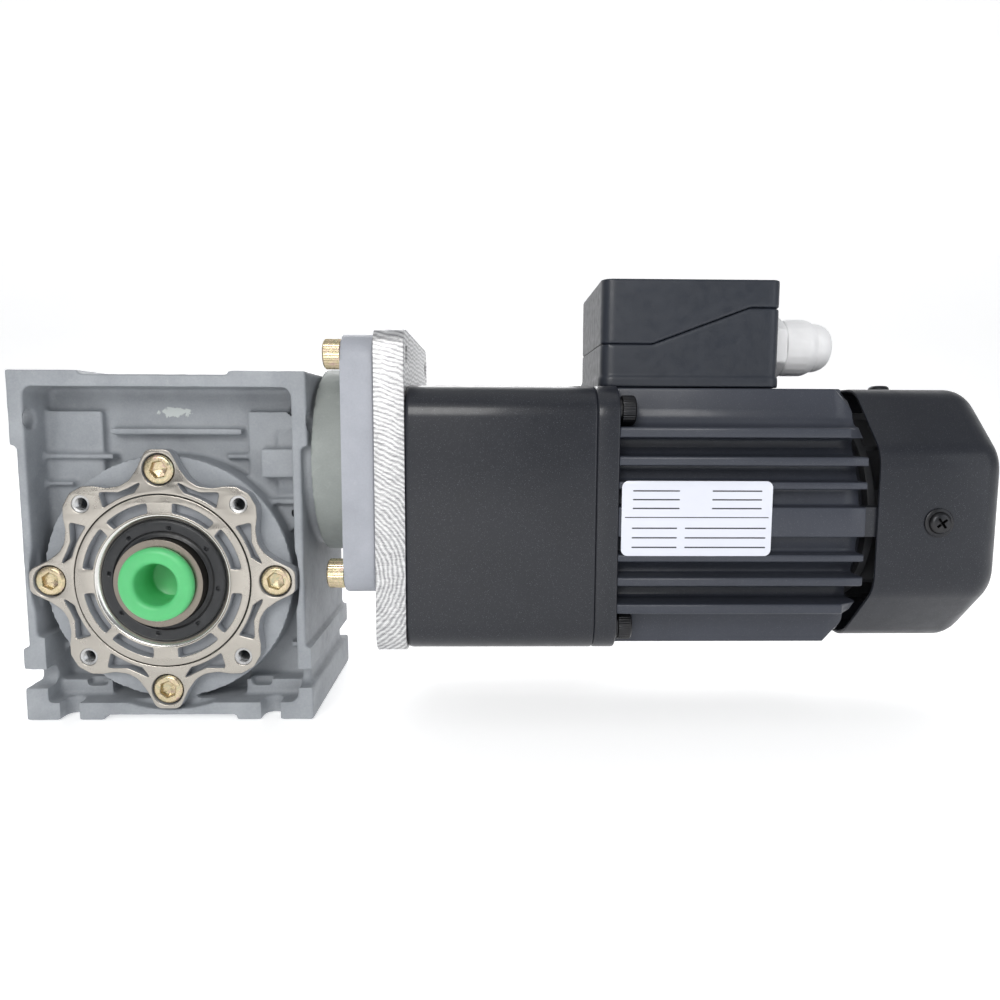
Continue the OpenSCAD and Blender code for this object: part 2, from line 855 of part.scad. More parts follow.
module gearhead_plate() {
    color(bright_steel)
        difference() {
            bar_x(gearhead_x + 47, gearhead_x + 53, gear_cavity_r - fit, motor_z);
            bar_x(gearhead_x + 46, gearhead_x + 54, 6.5, motor_z, sides = medium);
            bar_x(gearhead_x + 46, gearhead_x + 54, 8.5, worm_z, sides = medium);
            bar_x(gearhead_x + 46, gearhead_x + 54, 6, cluster_z, cluster_y, medium);
        }
}

module gearhead_bearings() {
    color(bright_steel) {
        tube_x(gearhead_x + 2, gearhead_x + 13, 16 - fit, 7.5 + fit, worm_z);
        tube_x(gearhead_x + 47.5, gearhead_x + 52.5, 8.5 - fit, 5 + fit, worm_z);
    }
}

module cluster_bushes() {
    color(bronze) {
        tube_x(gearhead_x + 8.2, gearhead_x + 13, 6 - fit, 4 + fit, cluster_z, cluster_y, medium);
        tube_x(gearhead_x + 47, gearhead_x + 52.8, 6 - fit, 4 + fit, cluster_z, cluster_y, medium);
    }
}

module gearhead_shaft() {
    tip_x = 30;
    key_x = 32;
    color(steel)
        difference() {
            union() {
                bar_x(tip_x, 62, input_bore_r - fit, worm_z);
                bar_x(61, gearhead_x + 13.4, 7.5, worm_z);
                bar_x(gearhead_x + 13.4, gearhead_x + 15.8, 9, worm_z);
                bar_x(gearhead_x + 15, gearhead_x + 47.2, 8, worm_z);
                bar_x(gearhead_x + 47, gearhead_x + 52.4, 5, worm_z);
            }
            box([key_x, -2, worm_z + 3], [key_x + 20, 2, worm_z + 8]);
        }
}

module shaft_key() {
    key_x = 32;
    color(bright_steel)
        box([key_x + fit, -2 + fit, worm_z + 3 + fit], [key_x + 20 - fit, 2 - fit, worm_z + 7.1]);
}

module final_gear() {
    color(steel)
        difference() {
            spur_gear_x(gearhead_x + 16, gearhead_x + 28, final_module, final_gear_teeth,
                final_stage_angle + 180 + 180 / final_gear_teeth, 0, worm_z);
            bar_x(gearhead_x + 15, gearhead_x + 29, 8 + fit, worm_z);
        }
}

module cluster_shaft() {
    color(steel)
        union() {
            bar_x(gearhead_x + 8.6, gearhead_x + 52.6, 4, cluster_z, cluster_y, medium);
            spur_gear_x(gearhead_x + 15, gearhead_x + 30, final_module, cluster_pinion_teeth,
                final_stage_angle, cluster_y, cluster_z, 0.9, 1.3);
            bar_x(gearhead_x + 30 - eps, gearhead_x + 46, 5, cluster_z, cluster_y, medium);
        }
}

module cluster_gear() {
    color(steel)
        difference() {
            spur_gear_x(gearhead_x + 34, gearhead_x + 44, pinion_module, cluster_gear_teeth,
                first_stage_angle + 180 + 180 / cluster_gear_teeth, cluster_y, cluster_z, 0.8, 1.25);
            bar_x(gearhead_x + 33, gearhead_x + 45, 5 + fit, cluster_z, cluster_y, medium);
        }
}

module gearhead_screws() {
    color(black_oxide)
        at_corners(motor_z)
            translate([frame_x, 0, 0])
                rotate([0, 90, 0])
                    socket_screw(6, frame_x - gearhead_x + 9, 10, 6, 5);
}

// Sub-parts of the motor

module motor_front_bracket() {
    color(motor_black)
        difference() {
            union() {
                round_block_x(bracket_x, frame_x, frame_size, frame_size, 11, motor_z);
                bar_x(bracket_x - 5, bracket_x + eps, gear_cavity_r - fit, motor_z);
                bar_x(frame_x - eps, frame_x + 8, 21, motor_z);
            }
            bar_x(bracket_x - 6, frame_x + 9, 9, motor_z);
            bar_x(frame_x - 3.5, frame_x + 9, motor_bearing_r, motor_z);
            at_corners(motor_z)
                bar_x(bracket_x - 6, frame_x + 1, 3.3, sides = small);
            // hollow around the pilot keeps the walls even
            tube_x(bracket_x - 6, bracket_x - 1, gear_cavity_r - 5, 16, motor_z);
        }
}

// Finned profile of the motor frame, the same on all four sides
module frame_profile() {
    fins = [[29.6, 3.4, 44.6], [20.2, 3, half], [12.2, 2.4, half]];
    difference() {
        union() {
            circle(r = frame_tube_r, $fn = fine);
            for (q = [0 : 3])
                rotate(q * 90) {
                    translate([-5, 0])
                        square([10, half]);
                    for (f = fins, s = [-1, 1])
                        translate([s * f[0] - f[1] / 2, 20])
                            square([f[1], f[2] - 20]);
                    translate([24, 24])
                        square([8.2, 8.2]);
                }
        }
        circle(r = stator_r, $fn = fine);
    }
}

module motor_frame() {
    color(motor_black)
        difference() {
            along_x(frame_x, motor_z)
                linear_extrude(height = motor_end_x - frame_x)
                    frame_profile();
            // cable passage into the terminal box
            translate([box_x + box_w / 2, 0, motor_z + 30])
                cylinder(h = 20, r = 7, $fn = medium);
        }
}

module stator_core() {
    x0 = frame_x + 24;
    slots = 24;
    color(steel)
        along_x(x0, motor_z)
            linear_extrude(height = 42)
                difference() {
                    circle(r = stator_r - fit, $fn = fine);
                    circle(r = rotor_r + 0.5, $fn = fine);
                    for (i = [0 : slots - 1])
                        rotate(i * 360 / slots)
                            translate([rotor_r + 2, -1.2])
                                square([7.5, 2.4]);
                }
}

module stator_windings() {
    x0 = frame_x + 24;
    color("#b5652f") {
        tube_x(x0 - 12, x0 - 0.1, 33.5, rotor_r + 2, motor_z);
        tube_x(x0 + 42.1, x0 + 53, 33.5, rotor_r + 2, motor_z);
    }
}

module motor_bearings() {
    rear_x = motor_end_x - 9;
    color(bright_steel) {
        tube_x(frame_x - 3.4, frame_x - 3.4 + motor_bearing_w, motor_bearing_r - fit, 7.5 + fit, motor_z);
        tube_x(rear_x, rear_x + motor_bearing_w, motor_bearing_r - fit, 7.5 + fit, motor_z);
    }
}

module rear_bracket() {
    ear_len = cover_screw_x + 4.5 - motor_end_x;
    color(motor_black)
        difference() {
            union() {
                bar_x(motor_end_x - 5, motor_end_x, stator_r - fit, motor_z);
                bar_x(motor_end_x - 11, motor_end_x + 3, 21, motor_z);
                // ears that carry the fan cover screws
                for (i = [0 : 3])
                    translate([motor_end_x, 0, motor_z])
                        rotate([i * 90, 0, 0])
                            box([0, -5, 18], [ear_len, 5, half - cover_sheet - fit]);
                bar_x(motor_end_x - eps, motor_end_x + 3, 36, motor_z);
            }
            bar_x(motor_end_x - 12, motor_end_x + 14, 8.2, motor_z);
            bar_x(motor_end_x - 12, motor_end_x + 2, motor_bearing_r, motor_z);
            bar_x(motor_end_x + 3, motor_end_x + ear_len + 1, 37, motor_z);
            for (i = [0 : 3])
                translate([cover_screw_x, 0, motor_z])
                    rotate([i * 90, 0, 0])
                        translate([0, 0, 30])
                            cylinder(h = 20, r = 2, $fn = small);
        }
}

module motor_shaft() {
    color(steel)
        union() {
            bar_x(gearhead_x + 45.6, frame_x - 4, 5.2, motor_z, sides = medium);
            bar_x(frame_x - 4.2, frame_x + 8, 7.5, motor_z);
            bar_x(frame_x + 7.8, motor_end_x - 9.4, 9, motor_z);
            bar_x(motor_end_x - 9.6, motor_end_x + 28, 7.5, motor_z);
            spur_gear_x(gearhead_x + 31, gearhead_x + 45.7, pinion_module, pinion_teeth,
                first_stage_angle, 0, motor_z, 1, 1.2);
        }
}

module rotor_core() {
    x0 = frame_x + 24;
    color(bright_steel)
        difference() {
            union() {
                bar_x(x0, x0 + 42, rotor_r, motor_z);
                tube_x(x0 - 5, x0 + 47, 21, 14, motor_z);
            }
            bar_x(x0 - 6, x0 + 48, 9 + fit, motor_z);
        }
}

module cooling_fan() {
    fan_x = motor_end_x + 6;
    blades = 8;
    color("#3a3b3f")
        difference() {
            union() {
                bar_x(fan_x, fan_x + 20, 12, motor_z);
                bar_x(fan_x, fan_x + 2.5, 34, motor_z);
                translate([fan_x + 2, 0, motor_z])
                    for (i = [0 : blades - 1])
                        rotate([i * 360 / blades, 0, 0])
                            box([0, -1, 8], [20, 1, 34]);
            }
            bar_x(fan_x - 1, fan_x + 24, 7.5 + fit, motor_z);
        }
}

// Outline of the octagonal cover
function octagon(size, cut) = let (h = size / 2, c = h - cut) [
    [h, -c], [h, c], [c, h], [-c, h], [-h, c], [-h, -c], [-c, -h], [c, -h]
];

// Thin slice of the rounded far edge, at the angle a of the rounding
module cover_slice(x1, size, edge, a) {
    inset = edge * (1 - cos(a));
    along_x(x1 - edge + edge * sin(a) - eps, motor_z)
        linear_extrude(height = eps)
            polygon(octagon(size - 2 * inset, cover_chamfer - 0.6 * inset));
}

// Octagonal block along X with a rounded far edge
module cover_body(x0, x1, size, edge) {
    along_x(x0, motor_z)
        linear_extrude(height = x1 - x0 - edge)
            polygon(octagon(size, cover_chamfer));
    for (a = [0, 30, 60])
        hull() {
            cover_slice(x1, size, edge, a);
            cover_slice(x1, size, edge, a + 30);
        }
}

module fan_cover() {
    edge = 10;
    inner = frame_size - 2 * cover_sheet;
    color(motor_black)
        difference() {
            cover_body(cover_x, cover_end_x, frame_size, edge);
            translate([-cover_sheet, 0, 0])
                cover_body(cover_x - 2 + cover_sheet, cover_end_x, inner, edge - cover_sheet);
            // air slots in the end wall
            for (ring = [0 : 3], i = [0 : 11])
                along_x(cover_end_x - 6, motor_z)
                    rotate([0, 0, i * 30])
                        linear_extrude(height = 10)
                            polygon(concat(
                                arc(10 + ring * 6.5, 4, 26, 4),
                                arc(13.2 + ring * 6.5, 26, 4, 4)
                            ));
            for (i = [0 : 3])
                translate([cover_screw_x, 0, motor_z])
                    rotate([i * 90, 0, 0])
                        translate([0, 0, 40])
                            cylinder(h = 10, r = 2.4, $fn = small);
        }
}

module fan_cover_screws() {
    color(black_oxide)
        for (i = [0 : 3])
            translate([cover_screw_x, 0, motor_z])
                rotate([i * 90, 0, 0]) {
                    translate([0, 0, half + fit])
                        difference() {
                            cylinder(h = 2.2, r1 = 4.2, r2 = 3.2, $fn = medium);
                            for (turn = [0, 90])
                                rotate([0, 0, turn])
                                    translate([-2, -0.4, 1])
                                        cube([4, 0.8, 3]);
                        }
                    translate([0, 0, half - 8])
                        cylinder(h = 8.1, r = 2 - fit, $fn = small);
                }
}

module rating_label() {
    label_w = 50;
    label_h = 25;
    color("#e8eaf0")
        translate([frame_x + 0.8 + label_w / 2, -half - fit, motor_z + 1.2])
            rotate([90, 0, 0])
                linear_extrude(height = 0.25)
                    polygon(round_rect(label_w, label_h, 2));
}

// Terminal box on top of the motor

lid_wall = 2.2;
split_low = box_top - 22;
split_high = box_top - 9.5;

// Side outline of the lid, which rises where it meets the base
function lid_outline(gap) = [
    [0, split_low + gap], [17.5, split_low + gap], [51, split_high + gap],
    [box_w, split_high + gap], [box_w, box_top + 1], [0, box_top + 1]
];

module box_shell(wall_t) {
    translate([box_x + box_w / 2, 0, box_z])
        difference() {
            linear_extrude(height = box_top - box_z)
                polygon(round_rect(box_w, box_d, 4));
            translate([0, 0, 3])
                linear_extrude(height = box_top - box_z - 3 - wall_t)
                    polygon(round_rect(box_w - 2 * wall_t, box_d - 2 * wall_t, 3));
        }
}

module lid_zone(gap) {
    translate([box_x, box_d, 0])
        rotate([90, 0, 0])
            linear_extrude(height = 2 * box_d)
                polygon(lid_outline(gap));
}

module terminal_box_base() {
    color("#1f2126")
        difference() {
            union() {
                difference() {
                    box_shell(lid_wall);
                    lid_zone(0);
                }
                // screw posts
                for (sx = [-1, 1], sy = [-1, 1])
                    translate([box_x + box_w / 2 + sx * 25, sy * 23, box_z + 1])
                        cylinder(h = 12, r = 3.4, $fn = medium);
                translate([box_x + box_w / 2, 0, box_z])
                    linear_extrude(height = 3.2)
                        polygon(round_rect(box_w + 1, box_d + 1, 4.5));
            }
            translate([box_x + box_w / 2, 0, box_z - 1])
                cylinder(h = 6, r = 7, $fn = medium);
            bar_x(box_x + box_w - 4, box_x + box_w + 2, 8.1, gland_z, sides = medium);
            for (sx = [-1, 1], sy = [-1, 1])
                translate([box_x + box_w / 2 + sx * 25, sy * 23, box_z + 4])
                    cylinder(h = 12, r = 1.6, $fn = small);
        }
}

module terminal_box_lid() {
    color("#1f2126")
        difference() {
            union() {
                intersection() {
                    box_shell(lid_wall);
                    lid_zone(0.15);
                }
                for (sx = [-1, 1], sy = [-1, 1])
                    translate([box_x + box_w / 2 + sx * 25, sy * 23, box_z + 13.3])
                        cylinder(h = box_top - box_z - 13.3 - 1, r = 3.4, $fn = medium);
            }
            for (sx = [-1, 1], sy = [-1, 1])
                translate([box_x + box_w / 2 + sx * 25, sy * 23, box_z + 12])
                    cylinder(h = 60, r = 1.9, $fn = small);
            for (sx = [-1, 1], sy = [-1, 1])
                translate([box_x + box_w / 2 + sx * 25, sy * 23, box_top - 4])
                    cylinder(h = 6, r = 2.9, $fn = medium);
        }
}

module lid_screws() {
    color(bright_steel)
        for (sx = [-1, 1], sy = [-1, 1])
            translate([box_x + box_w / 2 + sx * 25, sy * 23, box_top - 4 + eps])
                difference() {
                    union() {
                        cylinder(h = 2, r = 2.7, $fn = medium);
                        translate([0, 0, -27])
                            cylinder(h = 27.5, r = 1.5, $fn = small);
                    }
                    for (turn = [0, 90])
                        rotate([0, 0, turn])
                            translate([-1.6, -0.35, 1])
                                cube([3.2, 0.7, 2]);
                }
}

module terminal_block() {
    color("#d8d4c6")
        translate([box_x + 12, -9, box_z + 3.2 + fit])
            difference() {
                cube([38, 18, 9]);
                for (i = [0 : 3])
                    translate([3.5 + i * 8.5, -1, 5])
                        cube([5.5, 20, 5]);
                translate([19, 9, -1])
                    cylinder(h = 12, r = 7.2, $fn = medium);
            }
}

module gland_body() {
    x0 = box_x + box_w;
    color("#f2f2ee")
        difference() {
            union() {
                bar_x(x0 - lid_wall - 4, x0 + 1, 8, gland_z, sides = medium);
                along_x(x0 + fit, gland_z)
                    cylinder(h = 9.4, r = 12, $fn = 6);
                bar_x(x0 + 5, x0 + 14, 8.6, gland_z, sides = medium);
            }
            bar_x(x0 - 8, x0 + 15, 5, gland_z, sides = medium);
        }
}

module gland_nut() {
    x0 = box_x + box_w + 9.8;
    color("#f2f2ee")
        along_x(x0, gland_z)
            rotate_extrude($fn = fine)
                polygon(concat(
                    [[8.7, 0], [gland_r, 0], [gland_r, 8.5], [gland_r - 1.4, 11.6]],
                    [for (i = [0 : 6]) [5.4 + 3.8 * cos(i * 15), 12.4 + 5.8 * sin(i * 15)]],
                    [[5.2, 18.2], [5.2, 5], [8.7, 5]]
                ));
}

gear_housing();
front_cover();
cover_screws();
cover_o_ring();
front_oil_seal();
rear_oil_seal();
front_bearing_outer_ring();
front_bearing_balls();
front_bearing_inner_ring();
rear_bearing_outer_ring();
rear_bearing_balls();
rear_bearing_inner_ring();
output_hub();
worm_wheel();
bore_plug();
worm_shaft();
end_bearing_outer_ring();
end_bearing_balls();
end_bearing_inner_ring();
input_bearing_outer_ring();
input_bearing_balls();
input_bearing_inner_ring();
worm_end_cap();
worm_circlips();
worm_input_seal();
input_flange();
input_flange_screws();
flange_plate_screws();
adapter_plate();
gearhead_case();
gearhead_plate();
gearhead_bearings();
cluster_bushes();
gearhead_shaft();
final_gear();
shaft_key();
cluster_shaft();
cluster_gear();
gearhead_screws();
motor_front_bracket();
motor_frame();
stator_core();
stator_windings();
motor_bearings();
rear_bracket();
motor_shaft();
rotor_core();
cooling_fan();
fan_cover();
fan_cover_screws();
rating_label();
terminal_box_base();
terminal_box_lid();
terminal_block();
lid_screws();
gland_body();
gland_nut();
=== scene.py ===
"""Looks of the worm gear drive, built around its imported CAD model.

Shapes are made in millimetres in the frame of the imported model, and scaled to metres
when a piece is finished.
"""

import math
import random

import bmesh
import bpy
from mathutils import Matrix, Vector, noise


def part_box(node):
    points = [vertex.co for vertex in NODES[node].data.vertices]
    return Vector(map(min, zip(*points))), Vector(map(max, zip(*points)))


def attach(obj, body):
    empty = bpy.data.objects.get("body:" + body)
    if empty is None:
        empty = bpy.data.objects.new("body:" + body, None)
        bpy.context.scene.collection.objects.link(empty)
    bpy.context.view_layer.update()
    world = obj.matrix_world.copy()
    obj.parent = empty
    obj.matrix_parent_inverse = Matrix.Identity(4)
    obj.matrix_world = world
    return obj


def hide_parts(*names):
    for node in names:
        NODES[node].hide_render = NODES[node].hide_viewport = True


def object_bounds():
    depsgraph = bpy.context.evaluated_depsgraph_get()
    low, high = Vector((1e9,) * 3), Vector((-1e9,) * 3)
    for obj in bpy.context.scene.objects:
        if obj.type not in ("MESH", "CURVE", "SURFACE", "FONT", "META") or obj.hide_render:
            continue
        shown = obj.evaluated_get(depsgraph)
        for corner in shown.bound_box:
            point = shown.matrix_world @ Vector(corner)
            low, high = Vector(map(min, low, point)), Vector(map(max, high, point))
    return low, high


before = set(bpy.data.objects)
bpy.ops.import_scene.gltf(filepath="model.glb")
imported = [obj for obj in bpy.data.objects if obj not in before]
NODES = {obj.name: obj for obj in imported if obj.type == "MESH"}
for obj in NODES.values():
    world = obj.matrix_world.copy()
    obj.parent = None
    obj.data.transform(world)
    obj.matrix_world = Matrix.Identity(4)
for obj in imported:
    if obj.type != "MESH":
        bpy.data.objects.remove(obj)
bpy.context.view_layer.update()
TO_METRES = 0.001
PER_METRE = 1000.0
random.seed(11)


def spans(node):
    """Lowest and highest corner of a CAD node in millimetres."""
    low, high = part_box(node)
    return low / TO_METRES, high / TO_METRES


def mid(node):
    low, high = spans(node)
    return (low + high) / 2


# ---------------------------------------------------------------- shapes

AXES = {
    "+X": ((0, 1, 0), (0, 0, 1), (1, 0, 0)),
    "-X": ((0, -1, 0), (0, 0, 1), (-1, 0, 0)),
    "+Y": ((-1, 0, 0), (0, 0, 1), (0, 1, 0)),
    "-Y": ((1, 0, 0), (0, 0, 1), (0, -1, 0)),
    "+Z": ((1, 0, 0), (0, 1, 0), (0, 0, 1)),
    "-Z": ((-1, 0, 0), (0, 1, 0), (0, 0, -1)),
}


def place(x, y, z, axis, spin=0.0):
    """Matrix that stands local +Z along an axis at a point."""
    columns = [Vector(c) for c in AXES[axis]]
    turn = Matrix(columns).transposed().to_4x4()
    return Matrix.Translation((x, y, z)) @ turn @ Matrix.Rotation(math.radians(spin), 4, "Z")


def polar(radius, degrees):
    a = math.radians(degrees)
    return (radius * math.cos(a), radius * math.sin(a))


def arc(radius, start, end, steps=10):
    return [polar(radius, start + (end - start) * i / steps) for i in range(steps + 1)]


def circle(radius, sides=64, x=0.0, y=0.0):
    return [(x + radius * math.cos(2 * math.pi * i / sides),
             y + radius * math.sin(2 * math.pi * i / sides))
            for i in range(sides)]


def rounded_rect(width, height, radius, steps=10):
    corners = [(1, 1, 0), (-1, 1, 90), (-1, -1, 180), (1, -1, 270)]
    points = []
    for sx, sy, start in corners:
        cx, cy = sx * (width / 2 - radius), sy * (height / 2 - radius)
        points += [(cx + p[0], cy + p[1]) for p in arc(radius, start, start + 90, steps)]
    return points


def fillet(points, radii, steps=4):
    """Rounds the corners of a closed outline; radii is one number or one per corner."""
    count = len(points)
    radii = radii if isinstance(radii, (list, tuple)) else [radii] * count
    rounded = []
    for i, (corner, radius) in enumerate(zip(points, radii)):
        p = Vector(corner)
        back, ahead = Vector(points[i - 1]) - p, Vector(points[(i + 1) % count]) - p
        half = back.angle(ahead) / 2
        if radius <= 0 or half < 0.05 or half > 1.55:
            rounded.append(tuple(p))
            continue
        reach = min(radius / math.tan(half), 0.48 * back.length, 0.48 * ahead.length)
        a, b = p + back.normalized() * reach, p + ahead.normalized() * reach
        for k in range(steps + 1):
            t = k / steps
            q = a * (1 - t) ** 2 + p * 2 * t * (1 - t) + b * t * t
            rounded.append((q.x, q.y))
    return rounded


def hexagon(across):
    """Radius of a hexagon as a function of the angle."""
    third = math.pi / 3
    return lambda a: across / 2 / math.cos((a + third / 2) % third - third / 2)


def knurl(radius, depth, teeth):
    """Radius of a knurled edge as a function of the angle."""
    def at(a):
        phase = (a * teeth / (2 * math.pi)) % 1.0
        return radius - depth * abs(2 * phase - 1)
    return at


def ring(radius, height, sides, matrix):
    """One ring of points; radius and height are numbers or functions of the angle."""
    points = []
    for i in range(sides):
        a = 2 * math.pi * i / sides
        r = radius(a) if callable(radius) else radius
        h = height(a) if callable(height) else height
        points.append(matrix @ Vector((r * math.cos(a), r * math.sin(a), h)))
    return points


def loop(outline, height, matrix):
    return [matrix @ Vector((x, y, height)) for x, y in outline]


def skin(bm, rings, wrap=False, caps=True):
    """Joins rings of equal counts with faces and returns their rows of vertices."""
    rows = [[bm.verts.new(p) for p in points] for points in rings]
    pairs = list(zip(rows, rows[1:])) + ([(rows[-1], rows[0])] if wrap else [])
    for a, b in pairs:
        for i in range(len(a)):
            j = (i + 1) % len(a)
            bm.faces.new((a[i], a[j], b[j], b[i]))
    if caps and not wrap:
        bm.faces.new(rows[0])
        bm.faces.new(rows[-1])
    return rows


def turned(bm, profile, matrix, sides=96, wrap=False):
    """A turned shape from (radius, height) pairs."""
    return skin(bm, [ring(r, h, sides, matrix) for r, h in profile], wrap)


def fill(bm, rows):
    """Fills the flat area between closed rows of vertices."""
    edges = []
    for row in rows:
        for i, v in enumerate(row):
            w = row[(i + 1) % len(row)]
            edges.append(bm.edges.get((v, w)) or bm.edges.new((v, w)))
    bmesh.ops.triangle_fill(bm, use_beauty=True, use_dissolve=False, edges=edges)


def temporary(bm):
    mesh = bpy.data.meshes.new("temporary")
    bm.to_mesh(mesh)
    obj = bpy.data.objects.new("temporary", mesh)
    bpy.context.scene.collection.objects.link(obj)
    return obj


def evaluated(obj):
    """The mesh of an object with its modifiers, as a bmesh; the object is removed."""
    depsgraph = bpy.context.evaluated_depsgraph_get()
    mesh = bpy.data.meshes.new_from_object(obj.evaluated_get(depsgraph))
    bm = bmesh.new()
    bm.from_mesh(mesh)
    data = obj.data
    bpy.data.objects.remove(obj)
    for block in (data, mesh):
        (bpy.data.curves if isinstance(block, bpy.types.Curve) else bpy.data.meshes).remove(block)
    return bm


def plate(bm, outlines, low, high, matrix, bevel=0.3, steps=2):
    """A flat plate with softened edges; outlines inside the first are holes."""
    curve = bpy.data.curves.new("plate", "CURVE")
    curve.dimensions = "2D"
    curve.fill_mode = "BOTH"
    curve.extrude = (high - low) / 2 - bevel
    curve.bevel_depth = bevel
    curve.bevel_resolution = steps
    curve.offset = -bevel
    for outline in outlines:
        spline = curve.splines.new("POLY")
        spline.points.add(len(outline) - 1)
        for point, (x, y) in zip(spline.points, outline):
            point.co = (x, y, 0, 1)
        spline.use_cyclic_u = True
    obj = bpy.data.objects.new("plate", curve)
    bpy.context.scene.collection.objects.link(obj)
    made = evaluated(obj)
    made.transform(matrix @ Matrix.Translation((0, 0, (low + high) / 2)))
    bmesh.ops.remove_doubles(made, verts=made.verts, dist=1e-4)
    join(bm, made)


def join(bm, other):
    mesh = bpy.data.meshes.new("join")
    other.to_mesh(mesh)
    other.free()
    bm.from_mesh(mesh)
    bpy.data.meshes.remove(mesh)


def carve(bm, *cutters):
    """bm without the space of each cutter."""
    body = temporary(bm)
    bm.free()
    tools = []
    for cutter in cutters:
        bmesh.ops.recalc_face_normals(cutter, faces=cutter.faces)
        tool = temporary(cutter)
        cutter.free()
        tools.append(tool)
        cut = body.modifiers.new("cut", "BOOLEAN")
        cut.operation = "DIFFERENCE"
        cut.solver = "EXACT"
        cut.object = tool
    result = evaluated(body)
    for tool in tools:
        bpy.data.objects.remove(tool)
    return result


def cast_shape(node, voxel, smooth, share, uneven=0.0):
    """The CAD node's solid with the soft edges and fillets of a casting or moulding.

    uneven is how far the skin sinks in the low spots of a rough casting.
    """
    bm = bmesh.new()
    bm.from_mesh(NODES[node].data)
    bmesh.ops.remove_doubles(bm, verts=bm.verts, dist=1e-7)
    bm.transform(Matrix.Scale(1 / TO_METRES, 4))
    obj = temporary(bm)
    bm.free()
    remesh = obj.modifiers.new("cast", "REMESH")
    remesh.mode = "VOXEL"
    remesh.voxel_size = voxel * 1.0
    soften = obj.modifiers.new("soften", "SMOOTH")
    soften.factor = 0.5
    soften.iterations = smooth
    bm = evaluated(obj)
    bm.normal_update()
    for v in bm.verts:
        v.co -= v.normal * uneven * (0.5 + 0.5 * noise.noise(v.co / 3.5))
    obj = temporary(bm)
    bm.free()
    thin = obj.modifiers.new("thin", "DECIMATE")
    thin.ratio = share
    return evaluated(obj)


def piece(name, bm, looks, body="root", replaces=(), sharp=35, pick=None):
    """Turns a bmesh in millimetres into a finished piece that rides on a body."""
    bmesh.ops.remove_doubles(bm, verts=bm.verts, dist=2e-4)
    bmesh.ops.dissolve_degenerate(bm, edges=bm.edges, dist=1e-4)
    bmesh.ops.recalc_face_normals(bm, faces=bm.faces)
    bm.normal_update()
    for face in bm.faces:
        face.smooth = True
        if pick:
            face.material_index = pick(face.calc_center_median(), face.normal)
    limit = math.radians(sharp)
    for edge in bm.edges:
        if len(edge.link_faces) != 2 or edge.calc_face_angle(0.0) > limit:
            edge.smooth = False
    bm.transform(Matrix.Scale(TO_METRES, 4))
    mesh = bpy.data.meshes.new(name)
    bm.to_mesh(mesh)
    bm.free()
    obj = bpy.data.objects.new(name, mesh)
    bpy.context.scene.collection.objects.link(obj)
    for look in looks if isinstance(looks, (list, tuple)) else [looks]:
        mesh.materials.append(look)
    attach(obj, body)
    if replaces:
        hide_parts(*replaces)
    return obj


# ---------------------------------------------------------------- materials


